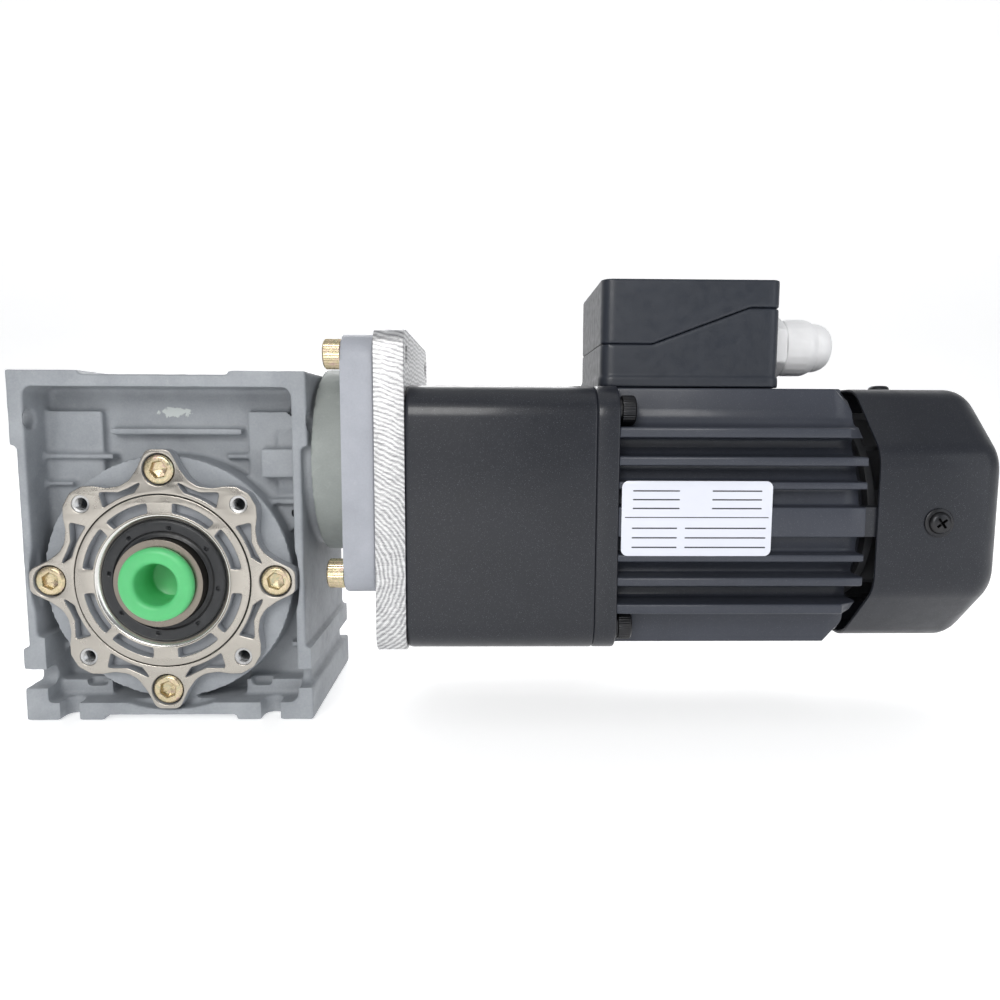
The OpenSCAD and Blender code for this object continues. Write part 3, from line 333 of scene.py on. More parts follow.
class Look:
    """A procedural material on one Principled shader. Sizes are in millimetres."""

    def __init__(self, name, color=(0.5, 0.5, 0.5), **sockets):
        self.material = bpy.data.materials.new(name)
        self.material.use_nodes = True
        tree = self.material.node_tree
        self.nodes, self.links = tree.nodes, tree.links
        self.shader = self.nodes["Principled BSDF"]
        self.point = self.add("TexCoord", output="Object")
        self.set("Base Color", (*color, 1.0))
        for key, value in sockets.items():
            self.set(key.replace("_", " "), value)

    def add(self, kind, inputs=None, output=0, **props):
        node = self.nodes.new("ShaderNode" + kind)
        for key, value in props.items():
            setattr(node, key, value)
        for key, value in (inputs or {}).items():
            self.feed(node.inputs[key], value)
        return node.outputs[output]

    def feed(self, socket, value):
        if isinstance(value, bpy.types.NodeSocket):
            self.links.new(value, socket)
        else:
            socket.default_value = value

    def set(self, name, value):
        self.feed(self.shader.inputs[name], value)

    def math(self, operation, a, b=0.0):
        return self.add("Math", {0: a, 1: b}, operation=operation)

    def stretched(self, scale):
        return self.add("Mapping", {"Vector": self.point, "Scale": scale})

    def noise(self, size, detail=3.0, rough=0.55, warp=0.0, at=None):
        return self.add("TexNoise", {"Vector": at or self.point, "Scale": PER_METRE / size,
                                     "Detail": detail, "Roughness": rough, "Distortion": warp})

    def cells(self, size, output="Color"):
        return self.add("TexVoronoi", {"Vector": self.point, "Scale": PER_METRE / size}, output=output)

    def ramp(self, factor, *stops):
        node = self.nodes.new("ShaderNodeValToRGB")
        self.feed(node.inputs[0], factor)
        elements = node.color_ramp.elements
        while len(elements) < len(stops):
            elements.new(0.5)
        for element, (at, value) in zip(elements, stops):
            element.position = at
            element.color = (*value, 1.0) if isinstance(value, (tuple, list)) else (*[value] * 3, 1.0)
        return node.outputs[0]

    def level(self, factor, low_in, high_in, low_out, high_out):
        return self.add("MapRange", {0: factor, 1: low_in, 2: high_in, 3: low_out, 4: high_out})

    def roughness(self, factor, low, high):
        """Roughness between two values, by a noise that mostly stays between 0.3 and 0.7."""
        self.set("Roughness", self.level(factor, 0.3, 0.7, low, high))

    def mix(self, factor, a, b):
        a = a if isinstance(a, bpy.types.NodeSocket) else (*a, 1.0)
        b = b if isinstance(b, bpy.types.NodeSocket) else (*b, 1.0)
        return self.add("Mix", {0: factor, 6: a, 7: b}, output=2, data_type="RGBA")

    def rings(self, axis, pitch, centre=(0.0, 0.0, 0.0), wobble=0.0):
        """Waves of a pitch around an axis through a centre, from 0 to 1."""
        mask = [0.0 if a == axis else 1.0 for a in "XYZ"]
        middle = [c * TO_METRES for c in centre]
        away = self.add("VectorMath", {0: self.point, 1: middle}, operation="SUBTRACT")
        flat = self.add("VectorMath", {0: away, 1: mask}, operation="MULTIPLY")
        distance = self.add("VectorMath", {0: flat}, output="Value", operation="LENGTH")
        if wobble:
            distance = self.math("ADD", distance,
                                 self.math("MULTIPLY", self.noise(6.0, 2.0), wobble * TO_METRES))
        wave = self.math("SINE", self.math("MULTIPLY", distance, 2 * math.pi * PER_METRE / pitch))
        return self.math("ADD", self.math("MULTIPLY", wave, 0.5), 0.5)

    def bump(self, height, strength, distance, under=None, rounding=None):
        """Bumps of a height in millimetres on top of another normal or a rounded edge."""
        inputs = {"Height": height, "Strength": strength, "Distance": distance * TO_METRES}
        if rounding:
            under = self.add("Bevel", {"Radius": rounding * TO_METRES}, samples=6)
        if under is not None:
            inputs["Normal"] = under
        normal = self.add("Bump", inputs)
        self.set("Normal", normal)
        return normal


def cast_paint(name, light, dark, rough=0.52, grain=0.34, peel=0.5, blot=None):
    """Sprayed paint over a sand or die cast skin; blot is a point with a pale run of paint."""
    look = Look(name, Specular_IOR_Level=0.42)
    cloudy = look.noise(16.0, 4.0, 0.6)
    speck = look.noise(0.7, 2.0, 0.6)
    shade = look.math("ADD", look.math("MULTIPLY", cloudy, 0.75), look.math("MULTIPLY", speck, 0.25))
    colour = look.ramp(shade, (0.34, dark), (0.62, light))
    dust = look.ramp(look.noise(3.2, 5.0, 0.7, 0.6), (0.60, 0.0), (0.78, 1.0))
    colour = look.mix(look.math("MULTIPLY", dust, 0.16), colour, (0.62, 0.63, 0.63))
    if blot:
        away = look.add("VectorMath", {0: look.point, 1: [c * TO_METRES for c in blot]},
                        operation="SUBTRACT")
        away = look.add("VectorMath", {0: away, 1: (0.45, 1.0, 1.6)}, operation="MULTIPLY")
        near = look.add("VectorMath", {0: away}, output="Value", operation="LENGTH")
        torn = look.math("ADD", near, look.math("MULTIPLY", look.noise(3.0, 4.0, 0.6, 1.0), 0.006))
        colour = look.mix(look.level(torn, 0.0052, 0.0058, 0.75, 0.0), colour, (0.62, 0.66, 0.64))
    look.set("Base Color", colour)
    look.roughness(look.noise(2.4, 3.0), rough - 0.07, rough + 0.09)
    skin_waves = look.bump(look.noise(2.6, 2.0, 0.5), peel, 0.12)
    look.bump(look.noise(grain, 3.0, 0.65), 0.42, 0.05, under=skin_waves)
    return look


def black_paint(name, base, flake, share, rough, cell=0.18, grain=0.5, rounding=None, coat=0.34):
    """Black paint with fine metal flakes."""
    look = Look(name, Coat_Weight=coat, Coat_Roughness=0.17, Specular_IOR_Level=0.32)
    split = look.nodes.new("ShaderNodeSeparateColor")
    look.links.new(look.cells(cell), split.inputs[0])
    near = look.level(look.cells(cell, "Distance"), 0.30, 0.42, 1.0, 0.0)
    chosen = look.math("MULTIPLY", look.math("GREATER_THAN", split.outputs[0], 1.0 - share), near)
    strength = look.math("MULTIPLY", chosen, look.level(split.outputs[1], 0.0, 1.0, 0.25, 1.0))
    clouds = look.noise(24.0, 3.0, 0.6)
    ground = look.mix(clouds, base, [min(1.0, c * 1.45 + 0.002) for c in base])
    look.set("Base Color", look.mix(strength, ground, flake))
    look.set("Metallic", look.math("MULTIPLY", strength, 0.6))
    look.roughness(look.noise(5.0, 4.0, 0.6), rough - 0.05, rough + 0.07)
    peel = look.bump(look.noise(1.5, 2.0, 0.5), 0.28, 0.05, rounding=rounding)
    look.bump(look.noise(grain, 2.0, 0.6), 0.30, 0.03, under=peel)
    return look


def machined(name, color, axis, centre=(0, 0, 0), pitch=0.32, rough=0.27, rounding=None, anisotropy=0.45):
    """Bare metal with the fine rings that a lathe leaves."""
    look = Look(name, Metallic=1.0, Anisotropic=anisotropy)
    marks = look.rings(axis, pitch, centre)
    coarse = look.rings(axis, pitch * 5.3, centre)
    blotch = look.noise(9.0, 4.0, 0.6)
    tone = look.math("ADD", look.math("MULTIPLY", marks, 0.35), look.math("MULTIPLY", blotch, 0.65))
    darker = [c * 0.80 for c in color]
    stain = look.ramp(look.noise(4.0, 5.0, 0.65, 0.8), (0.58, 0.0), (0.74, 1.0))
    colour = look.mix(tone, darker, color)
    look.set("Base Color", look.mix(look.math("MULTIPLY", stain, 0.18), colour,
                                    [c * 0.55 for c in color]))
    look.roughness(blotch, rough - 0.06, rough + 0.10)
    look.set("Tangent", look.add("Tangent", direction_type="RADIAL", axis=axis))
    height = look.math("ADD", look.math("MULTIPLY", marks, 0.5), look.math("MULTIPLY", coarse, 0.5))
    look.bump(height, 0.22, 0.02, rounding=rounding)
    return look


def zinc_plate(name):
    """Yellow passivated zinc with its faint rainbow."""
    look = Look(name, Metallic=1.0)
    hue = look.noise(3.0, 3.0, 0.55, 1.2)
    colour = look.ramp(hue, (0.30, (0.46, 0.46, 0.33)), (0.45, (0.58, 0.49, 0.31)),
                       (0.56, (0.66, 0.55, 0.38)), (0.70, (0.58, 0.42, 0.36)))
    spots = look.ramp(look.noise(1.1, 4.0, 0.7), (0.60, 0.0), (0.70, 1.0))
    look.set("Base Color", look.mix(look.math("MULTIPLY", spots, 0.5), colour, (0.30, 0.24, 0.14)))
    look.roughness(look.noise(0.9, 3.0), 0.20, 0.38)
    look.bump(look.noise(0.5, 3.0), 0.25, 0.02, rounding=0.15)
    return look


def plastic(name, color, rough, grain=0.35, depth=0.35, subsurface=0.0, rounding=None, sink=0.25):
    """Moulded plastic with a spark-eroded grain, flow marks and light scuffs."""
    look = Look(name)
    flow = look.noise(20.0, 3.0, 0.55, 1.5)
    scuff = look.ramp(look.noise(1.3, 4.0, 0.7, at=look.stretched((1.0, 1.0, 3.5))), (0.66, 0.0),
                      (0.76, 1.0))
    body = look.mix(flow, [c * 0.86 for c in color], [min(1.0, c * 1.12) for c in color])
    look.set("Base Color", look.mix(look.math("MULTIPLY", scuff, 0.10), body,
                                    [min(1.0, c + 0.25) for c in color]))
    look.roughness(look.noise(3.0, 3.0), rough - 0.05, rough + 0.08)
    if subsurface:
        look.set("Subsurface Weight", subsurface)
        look.set("Subsurface Radius", (1.0, 1.0, 1.0))
        look.set("Subsurface Scale", 0.0025)
    waves = look.bump(look.noise(9.0, 2.0), sink, 0.15, rounding=rounding)
    look.bump(look.noise(grain, 2.0, 0.6), depth, 0.03, under=waves)
    return look


def rubber(name, color=(0.022, 0.024, 0.027), rough=0.42):
    look = Look(name, Sheen_Weight=0.08, Sheen_Roughness=0.5)
    haze = look.ramp(look.noise(5.0, 5.0, 0.7, 0.5), (0.50, 0.0), (0.80, 1.0))
    look.set("Base Color", look.mix(look.math("MULTIPLY", haze, 0.22), color, (0.07, 0.073, 0.077)))
    look.roughness(look.noise(1.6, 3.0), rough - 0.08, rough + 0.12)
    look.bump(look.noise(0.45, 3.0), 0.35, 0.04, rounding=0.25)
    return look


def metal(name, color, rough, grain=0.6, stain=0.35, stain_color=None, rounding=0.25):
    """Plain metal with a fine grain and patchy tarnish."""
    look = Look(name, Metallic=1.0)
    patch = look.ramp(look.noise(6.0, 5.0, 0.65, 0.7), (0.42, 0.0), (0.72, 1.0))
    fine = look.noise(grain, 3.0, 0.6)
    colour = look.mix(fine, [c * 0.78 for c in color], color)
    look.set("Base Color", look.mix(look.math("MULTIPLY", patch, stain), colour,
                                    stain_color or [c * 0.45 for c in color]))
    look.roughness(fine, rough - 0.07, rough + 0.10)
    look.bump(fine, 0.25, 0.02, rounding=rounding)
    return look


def saw_cut(name):
    """Sawn and milled aluminium: bright arcs, streaks and torn grain."""
    look = Look(name, Metallic=1.0)
    edge_x = spans("adapter_plate")[0].x
    arcs = look.rings("Y", 1.45, (edge_x - 14.0, 0.0, 4.0), 2.6)
    fine = look.rings("Y", 0.40, (edge_x - 14.0, 0.0, 4.0), 1.6)
    streak = look.noise(0.9, 5.0, 0.8, 0.6, at=look.stretched((0.22, 1.0, 1.5)))
    torn = look.ramp(look.noise(1.6, 6.0, 0.75, 1.1), (0.50, 0.0), (0.66, 1.0))
    height = look.math("ADD", look.math("MULTIPLY", arcs, 0.26), look.math("MULTIPLY", fine, 0.14))
    height = look.math("ADD", height, look.math("MULTIPLY", streak, 0.9))
    tone = look.ramp(height, (0.42, (0.22, 0.22, 0.23)), (0.64, (0.56, 0.56, 0.57)),
                     (0.86, (0.84, 0.84, 0.84)))
    look.set("Base Color", look.mix(look.math("MULTIPLY", torn, 0.45), tone, (0.30, 0.30, 0.31)))
    look.roughness(streak, 0.38, 0.58)
    look.bump(height, 0.55, 0.09)
    return look


def label_film(name):
    look = Look(name, Coat_Weight=0.5, Coat_Roughness=0.12)
    tint = look.noise(30.0, 2.0)
    look.set("Base Color", look.mix(tint, (0.66, 0.68, 0.76), (0.74, 0.76, 0.84)))
    look.roughness(look.noise(2.0, 3.0), 0.30, 0.42)
    look.bump(look.noise(12.0, 2.0), 0.12, 0.12)
    return look


def windings(name):
    """Varnished copper wire, bundled and tied."""
    look = Look(name, Metallic=0.6, Coat_Weight=0.5, Coat_Roughness=0.2)
    wires = look.rings("X", 0.8, tuple(mid("stator_windings")), 0.6)
    look.set("Base Color", look.mix(wires, (0.22, 0.06, 0.02), (0.56, 0.22, 0.09)))
    look.roughness(look.noise(1.0), 0.28, 0.45)
    look.bump(wires, 0.7, 0.25, rounding=0.6)
    return look


def laminated(name):
    """Stacked electrical sheet seen on its edges."""
    look = Look(name, Metallic=1.0)
    along = look.add("SeparateXYZ", {0: look.point})
    sheets = look.math("SINE", look.math("MULTIPLY", along, 2 * math.pi * PER_METRE / 0.5))
    look.set("Base Color", look.mix(look.noise(4.0, 4.0), (0.20, 0.21, 0.23), (0.40, 0.41, 0.43)))
    look.roughness(look.noise(1.0), 0.35, 0.55)
    look.bump(sheets, 0.5, 0.06, rounding=0.2)
    return look


WORM_LINE = (0.0, 0.0, mid("worm_end_cap").z)
MOTOR_LINE = (0.0, 0.0, mid("motor_frame").z)

PAINT = cast_paint("cast_grey_paint", (0.330, 0.348, 0.372), (0.250, 0.267, 0.289),
                   blot=(-1.0, -17.0, 57.5)).material
PAINT_COVER = cast_paint("cover_window_paint", (0.36, 0.375, 0.40), (0.28, 0.295, 0.32),
                         peel=0.35).material
PAINT_FLANGE = cast_paint("flange_grey_paint", (0.395, 0.410, 0.455), (0.330, 0.345, 0.385), grain=0.5,
                          peel=0.8).material
PAINT_DRUM = cast_paint("drum_grey_paint", (0.295, 0.318, 0.305), (0.245, 0.268, 0.256),
                        peel=0.4).material
FACE = machined("turned_cover_face", (0.50, 0.47, 0.425), "Y", pitch=0.34, rough=0.27,
                anisotropy=0.6).material
BORE = machined("bored_aluminium", (0.84, 0.83, 0.80), "Y", pitch=0.22, rough=0.18).material
THREAD = metal("tapped_aluminium", (0.60, 0.60, 0.60), 0.30, grain=0.4, rounding=None).material
ZINC = zinc_plate("yellow_zinc_plate").material
OXIDE = metal("black_oxide_steel", (0.045, 0.046, 0.050), 0.36, grain=0.4, stain=0.3,
              stain_color=(0.09, 0.085, 0.08), rounding=0.12).material
HUB = machined("turned_hub_steel", (0.27, 0.24, 0.205), "Y", pitch=0.26, rough=0.30,
               rounding=0.35).material
SHAFT = machined("ground_shaft_steel", (0.50, 0.49, 0.47), "Y", pitch=0.3, rough=0.22,
                 rounding=0.25).material
BEARING = metal("bearing_steel", (0.62, 0.63, 0.65), 0.16, grain=0.8, stain=0.12, rounding=0.3).material
GEAR_STEEL = metal("hobbed_gear_steel", (0.40, 0.39, 0.38), 0.30, grain=0.5, stain=0.35,
                   stain_color=(0.16, 0.13, 0.10), rounding=0.2).material
BRONZE = metal("worm_wheel_bronze", (0.70, 0.46, 0.20), 0.28, grain=0.5, stain=0.35,
               stain_color=(0.36, 0.20, 0.09)).material
SEAL = rubber("seal_rubber", (0.013, 0.0145, 0.017), 0.36).material
CAP = rubber("cap_rubber", (0.030, 0.031, 0.034), 0.50).material
GREEN = plastic("plug_green", (0.105, 0.54, 0.20), 0.36, grain=0.8, depth=0.15, subsurface=0.45,
                sink=0.15).material
BLACK = black_paint("flake_black_paint", (0.0088, 0.0102, 0.0148), (0.13, 0.135, 0.155), 0.12,
                    0.38).material
BLACK_FAN = black_paint("fan_cover_paint", (0.0100, 0.0116, 0.0165), (0.13, 0.13, 0.15), 0.10, 0.42,
                        grain=0.8, coat=0.15).material
# lighter base than the other black paints: partly dust on the frame, partly painted light that brightens
# the shaded gaps between the fins
BLACK_FRAME_DUST_AND_PAINTED_LIGHT = black_paint("frame_paint_dust_and_painted_light", (0.030, 0.034, 0.046), (0.15, 0.15, 0.17), 0.10, 0.44,
                          coat=0.2).material
BLACK_CAD = black_paint("rear_black_paint", (0.0105, 0.012, 0.0165), (0.13, 0.13, 0.15), 0.10, 0.40,
                        rounding=0.5).material
BOX = plastic("terminal_box_plastic", (0.0165, 0.0205, 0.0300), 0.40, grain=0.5, depth=0.30,
              sink=0.45).material
FAN = plastic("fan_plastic", (0.045, 0.047, 0.052), 0.45, rounding=0.4).material
BLOCK = plastic("terminal_block_plastic", (0.62, 0.59, 0.50), 0.45, rounding=0.4).material
WHITE = plastic("gland_nylon", (0.80, 0.80, 0.81), 0.34, grain=0.6, depth=0.2, subsurface=0.12,
                sink=0.2).material
SAWN = saw_cut("sawn_aluminium").material
FILM = label_film("label_film").material
INK = plastic("label_ink", (0.035, 0.036, 0.045), 0.42, depth=0.1, sink=0.0).material
WIRE = windings("copper_windings").material
SHEETS = laminated("electrical_sheet").material
ROTOR = machined("turned_rotor", (0.55, 0.55, 0.56), "X", MOTOR_LINE, pitch=0.5, rough=0.30,
                 rounding=0.3).material
PLATE = machined("plate_steel", (0.50, 0.50, 0.51), "X", MOTOR_LINE, pitch=0.6, rough=0.32,
                 rounding=0.3).material

BALL_BEARINGS = [f"{where}_bearing_{part}" for where in ("front", "rear", "end", "input")
                 for part in ("outer_ring", "balls", "inner_ring")]

# look, slot and nodes of the CAD pieces that show as they are
CAD_LOOKS = [
    (SEAL, "seal_rubber", ["cover_o_ring", "worm_input_seal"]),
    (BEARING, "bearing_steel", [*BALL_BEARINGS, "gearhead_bearings", "motor_bearings", "lid_screws"]),
    (HUB, "turned_steel", ["output_hub"]),
    (BRONZE, "bronze", ["worm_wheel", "cluster_bushes"]),
    (SHAFT, "turned_steel", ["worm_shaft", "gearhead_shaft", "motor_shaft"]),
    (OXIDE, "black_oxide", ["worm_circlips", "input_flange_screws"]),
    (PLATE, "bearing_steel", ["gearhead_plate"]),
    (GEAR_STEEL, "turned_steel", ["final_gear", "shaft_key", "cluster_shaft", "cluster_gear"]),
    (SHEETS, "bearing_steel", ["stator_core"]),
    (WIRE, "copper", ["stator_windings"]),
    (BLACK_CAD, "black_paint", ["rear_bracket"]),
    (ROTOR, "bearing_steel", ["rotor_core"]),
    (FAN, "fan_plastic", ["cooling_fan"]),
    (BLOCK, "terminal_plastic", ["terminal_block"]),
]


# ---------------------------------------------------------------- worm gear unit

SCREW_CIRCLE = 38.3  # radius of the four cover screws
LOBE_CIRCLE = 37.5  # radius of the four tapped holes
BOLT_REACH = 36.77  # half the spacing of the four screws in a square flange
CORNERS = ((-1, -1), (-1, 1), (1, -1), (1, 1))

def build_housing():
    bm = cast_shape("gear_housing", 0.75, 3, 0.42, 0.16)
    top_face = spans("gear_housing")[1].y

    def pick(c, n):
        radius = math.hypot(c.x, c.z)
        if c.y > top_face - 0.4 and n.y > 0.85 and radius < 46:
            return 1
        if radius < 21.8 and c.y > 28:
            return 1
        return 0

    piece("housing_casting", bm, [PAINT, FACE], replaces=["gear_housing"], sharp=50,
          pick=pick)


def star_outline():
    """Four screw tips and four bolt lobes with hollow sides; radius, angle and corner rounding."""
    half = [(45.3, 5, 3.4), (39.2, 10.5, 6), (36, 16, 6), (35.2, 22, 6), (36.6, 29, 6), (39.4, 34, 5),
            (41.6, 38.5, 3)]
    quarter = half + [(42.6, 45, 3)] + [(r, 90 - a, f) for r, a, f in half[::-1]]
    points = [(polar(r, q * 90 + a), f) for q in range(4) for r, a, f in quarter]
    return fillet([p for p, _ in points], [f for _, f in points], 7)


def window_set(ring_windows):
    """The eight windows of one ring of the star."""
    shapes = []
    for q in range(4):
        for side in (0, 1):
            shape = []
            for x, y in ring_windows:
                if side:
                    x, y = y, x
                a = math.radians(q * 90)
                shape.append((x * math.cos(a) - y * math.sin(a), x * math.sin(a) + y * math.cos(a)))
            shapes.append(fillet(shape, 0.9, 3) if not side else fillet(shape[::-1], 0.9, 3))
    return shapes


def build_cover():
    face_y = spans("front_cover")[0].y
    at = place(0, 0, 0, "-Y")
    inner = window_set(arc(23.75, 10, 41, 9) + arc(27.2, 42, 9, 9))
    outer = window_set(arc(31.5, 15.5, 37, 7)
                       + [polar(36.7, 33.6), polar(33.4, 24), polar(33.5, 18), polar(34.9, 9)])
    tips = [polar(SCREW_CIRCLE, a) for a in range(0, 360, 90)]
    lobes = [polar(LOBE_CIRCLE, a) for a in range(45, 360, 90)]
    top = -face_y
    floor = top - 4.0
    bm = bmesh.new()
    holes = [circle(2.5, 32, *p) for p in lobes]
    plate(bm, [star_outline(), circle(21.0, 96)] + holes + [circle(3.2, 32, *p) for p in tips], 30.0,
          floor, at, 0.15)
    plate(bm, [circle(29.7, 128), circle(23.1, 96)] + inner, floor, top, at, 0.25)
    plate(bm, [star_outline(), circle(30.05, 128)] + outer + [circle(5.55, 48, *p) for p in tips]
          + [circle(2.95, 40, *p) for p in lobes], floor, top - 0.12, at, 0.34, 3)
    # bright seal bore with its lead-in chamfer
    turned(bm, [(23.1, floor), (23.1, top - 0.15), (22.95, top), (22.85, top), (22.6, top - 0.1),
                (21.15, top - 1.45), (21.0, top - 1.7), (21.0, floor)], at, 128, wrap=True)
    # register and bearing sleeve inside the housing
    turned(bm, [(33.95, 30), (33.95, 28.7), (32.2, 28.7), (32.2, 26.3), (33.95, 26.3), (33.95, 25),
                (31, 25), (31, 14), (27.5, 14), (27.5, 27), (23, 27), (23, 28.5), (21, 28.5), (21, 30)],
                at, 128, wrap=True)
    # tapped holes
    for x, y in lobes:
        matrix = at @ Matrix.Translation((x, y, 0))
        profile = [(2.95, top - 0.6)]
        steps = 12
        for i in range(steps + 1):
            profile.append((2.62 if i % 2 else 2.18, top - 0.75 - i * 0.42))
        profile += [(2.95, top - 0.75 - steps * 0.42)]
        turned(bm, profile, matrix, 32, wrap=True)

    def pick(c, n):
        radius = math.hypot(c.x, c.z)
        if abs(c.y + floor) < 0.1:
            return 1
        if any(math.hypot(c.x - x, c.z - z) < 3.0 for x, z in lobes):
            return 3
        if c.y > -30.05 or radius < 22.98:
            return 2
        if c.y < -top + 0.5 and n.y < -0.35:
            return 0
        return 2 if 29.5 < radius < 30.3 else 1

    piece("output_cover", bm, [FACE, PAINT_COVER, BORE, THREAD], replaces=["front_cover"],
          pick=pick)


def socket_screw(bm, matrix, shank, length, head, height, key, neck=0.0, teeth=0):
    """A cap screw: shank below the head, knurled rim above it and a hexagon socket."""
    sides = 4 * teeth if teeth else 72
    rim = knurl(head / 2, 0.16, teeth) if teeth else head / 2
    rim_soft = knurl(head / 2 - 0.06, 0.10, teeth) if teeth else head / 2
    hexa = hexagon(key)
    rings = [(0.05, -length), (shank / 2 - 0.5, -length), (shank / 2, -length + 0.6), (shank / 2, 0.0)]
    if neck:
        rings += [(head / 2 - 0.75, 0.0), (head / 2 - 0.75, neck)]
    rings += [(head / 2 - 0.35, neck), (rim_soft, neck + 0.25), (rim, neck + 0.5), (rim, height - 0.75),
              (rim_soft, height - 0.55), (head / 2 - 0.28, height - 0.38),
              (head / 2 - 0.62, height - 0.06), (head / 2 - 0.8, height),
              (lambda a: hexa(a) + 0.35, height), (lambda a: hexa(a) + 0.08, height - 0.22),
              (hexa, height - 0.4), (hexa, height * 0.28), (lambda a: hexa(a) * 0.82, height * 0.26),
              (0.4, height * 0.11), (0.05, height * 0.10)]
    turned(bm, rings, matrix, sides)


def build_screws():
    bm = bmesh.new()
    seat = spans("cover_screws")[0].y
    height = 3.2
    for i, spin in enumerate((12, 40, 5, 52)):
        x, z = polar(SCREW_CIRCLE, i * 90)
        socket_screw(bm, place(x, seat + height, z, "-Y", spin), 5.9, 11, 10, height, 5)
    piece("cover_cap_screws", bm, ZINC, replaces=["cover_screws"], sharp=28)
    seat = spans("input_flange")[0].x + 12
    bm = bmesh.new()
    for k, (sy, sz) in enumerate(CORNERS):
        socket_screw(bm, place(seat, sy * BOLT_REACH, WORM_LINE[2] + sz * BOLT_REACH, "-X", 17 * k), 5.9,
                     19, 10, 6, 5, teeth=36)
    piece("flange_cap_screws", bm, ZINC, replaces=["flange_plate_screws"], sharp=28)
    seat = spans("motor_frame")[0].x
    bm = bmesh.new()
    for k, (sy, sz) in enumerate(CORNERS):
        socket_screw(bm, place(seat, sy * BOLT_REACH, MOTOR_LINE[2] + sz * BOLT_REACH, "+X", 23 * k), 5.9,
                     79.4, 10, 6, 5, neck=1.2, teeth=36)
    piece("motor_cap_screws", bm, OXIDE, replaces=["gearhead_screws"], sharp=28)


def shaft_seal(bm, matrix, face):
    """A spring-loaded lip seal with moulding dimples in its front face."""
    dimples, first, circle_radius = 8, math.radians(37), 18.4

    def dented(depth, reach):
        def at(a):
            step = 2 * math.pi / dimples
            off = abs((a - first + step / 2) % step - step / 2) * circle_radius
            return face - depth * math.exp(-(off / reach) ** 4)
        return at

    rings = [(20.95, face - 6.2), (20.95, face - 0.5), (20.75, face - 0.12), (20.4, face), (19.1, face)]
    rings += [(19.05, dented(0.15, 0.4)), (18.85, dented(0.95, 0.52)), (18.45, dented(1.1, 0.66)),
              (18.05, dented(0.95, 0.52)), (17.85, dented(0.15, 0.4))]
    rings += [(17.5, face), (17.2, face - 0.1), (17.05, face - 0.35), (17.0, face - 0.9),
              (16.6, face - 1.05), (16.1, face - 0.95), (15.6, face - 0.65), (15.25, face - 0.5),
              (15.06, face - 0.7), (15.05, face - 1.5), (15.6, face - 2.6), (16.4, face - 3.4),
              (15.3, face - 4.4), (15.06, face - 4.9), (15.2, face - 5.6), (16.4, face - 5.6),
              (17.0, face - 4.6), (19.8, face - 4.6), (19.9, face - 6.2)]
    turned(bm, rings, matrix, 240, wrap=True)


def build_seals():
    for node, name, axis in (("front_oil_seal", "front_lip_seal", "-Y"),
                             ("rear_oil_seal", "rear_lip_seal", "+Y")):
        low, high = spans(node)
        face = -low.y if axis == "-Y" else high.y
        bm = bmesh.new()
        shaft_seal(bm, place(0, 0, 0, axis), face)
        piece(name, bm, SEAL, replaces=[node], sharp=50)
    low, high = spans("worm_end_cap")
    bm = bmesh.new()
    radius = (high.z - low.z) / 2
    turned(bm, [(0.05, 0.55), (radius - 5.2, 0.5), (radius - 4.2, 0.45), (radius - 3.7, 0.15),
                (radius - 3.2, 0.0), (radius - 0.7, 0.0), (radius - 0.2, 0.15), (radius, 0.6),
                (radius, 2.2), (radius - 0.2, 2.3), (0.05, 2.3)],
           place(low.x, 0, WORM_LINE[2], "+X"), 96)
    piece("worm_bore_cap", bm, CAP, replaces=["worm_end_cap"], sharp=50)


def build_plug():
    end = spans("output_hub")[0].y
    bm = bmesh.new()
    turned(bm, [(0.05, -11.5), (6.3, -11.5), (6.75, -11.2), (6.9, -10.6), (7.05, 1.2), (7.25, 2.2),
                (7.7, 2.8), (8.5, 3.08), (10.2, 3.14), (11.2, 3.05), (11.9, 2.75), (12.35, 2.3),
                (12.6, 1.7), (12.6, 0.4), (12.45, 0.1), (12.2, 0.06), (9.1, 0.06), (9.1, -12.3),
                (8.5, -12.95), (0.05, -12.95)],
           place(0, end, 0, "-Y"), 128)
    piece("output_bore_plug", bm, GREEN, body="plug", replaces=["bore_plug"],
          sharp=55)


def build_flange():
    bm = cast_shape("input_flange", 0.75, 4, 0.45, 0.12)
    step_x = spans("input_flange")[0].x + 12

    def pick(c, n):
        return 1 if c.x < step_x - 0.6 and math.hypot(c.y, c.z - WORM_LINE[2]) < 35 else 0

    piece("input_flange_casting", bm, [PAINT_FLANGE, PAINT_DRUM], replaces=["input_flange"],
          sharp=50, pick=pick)


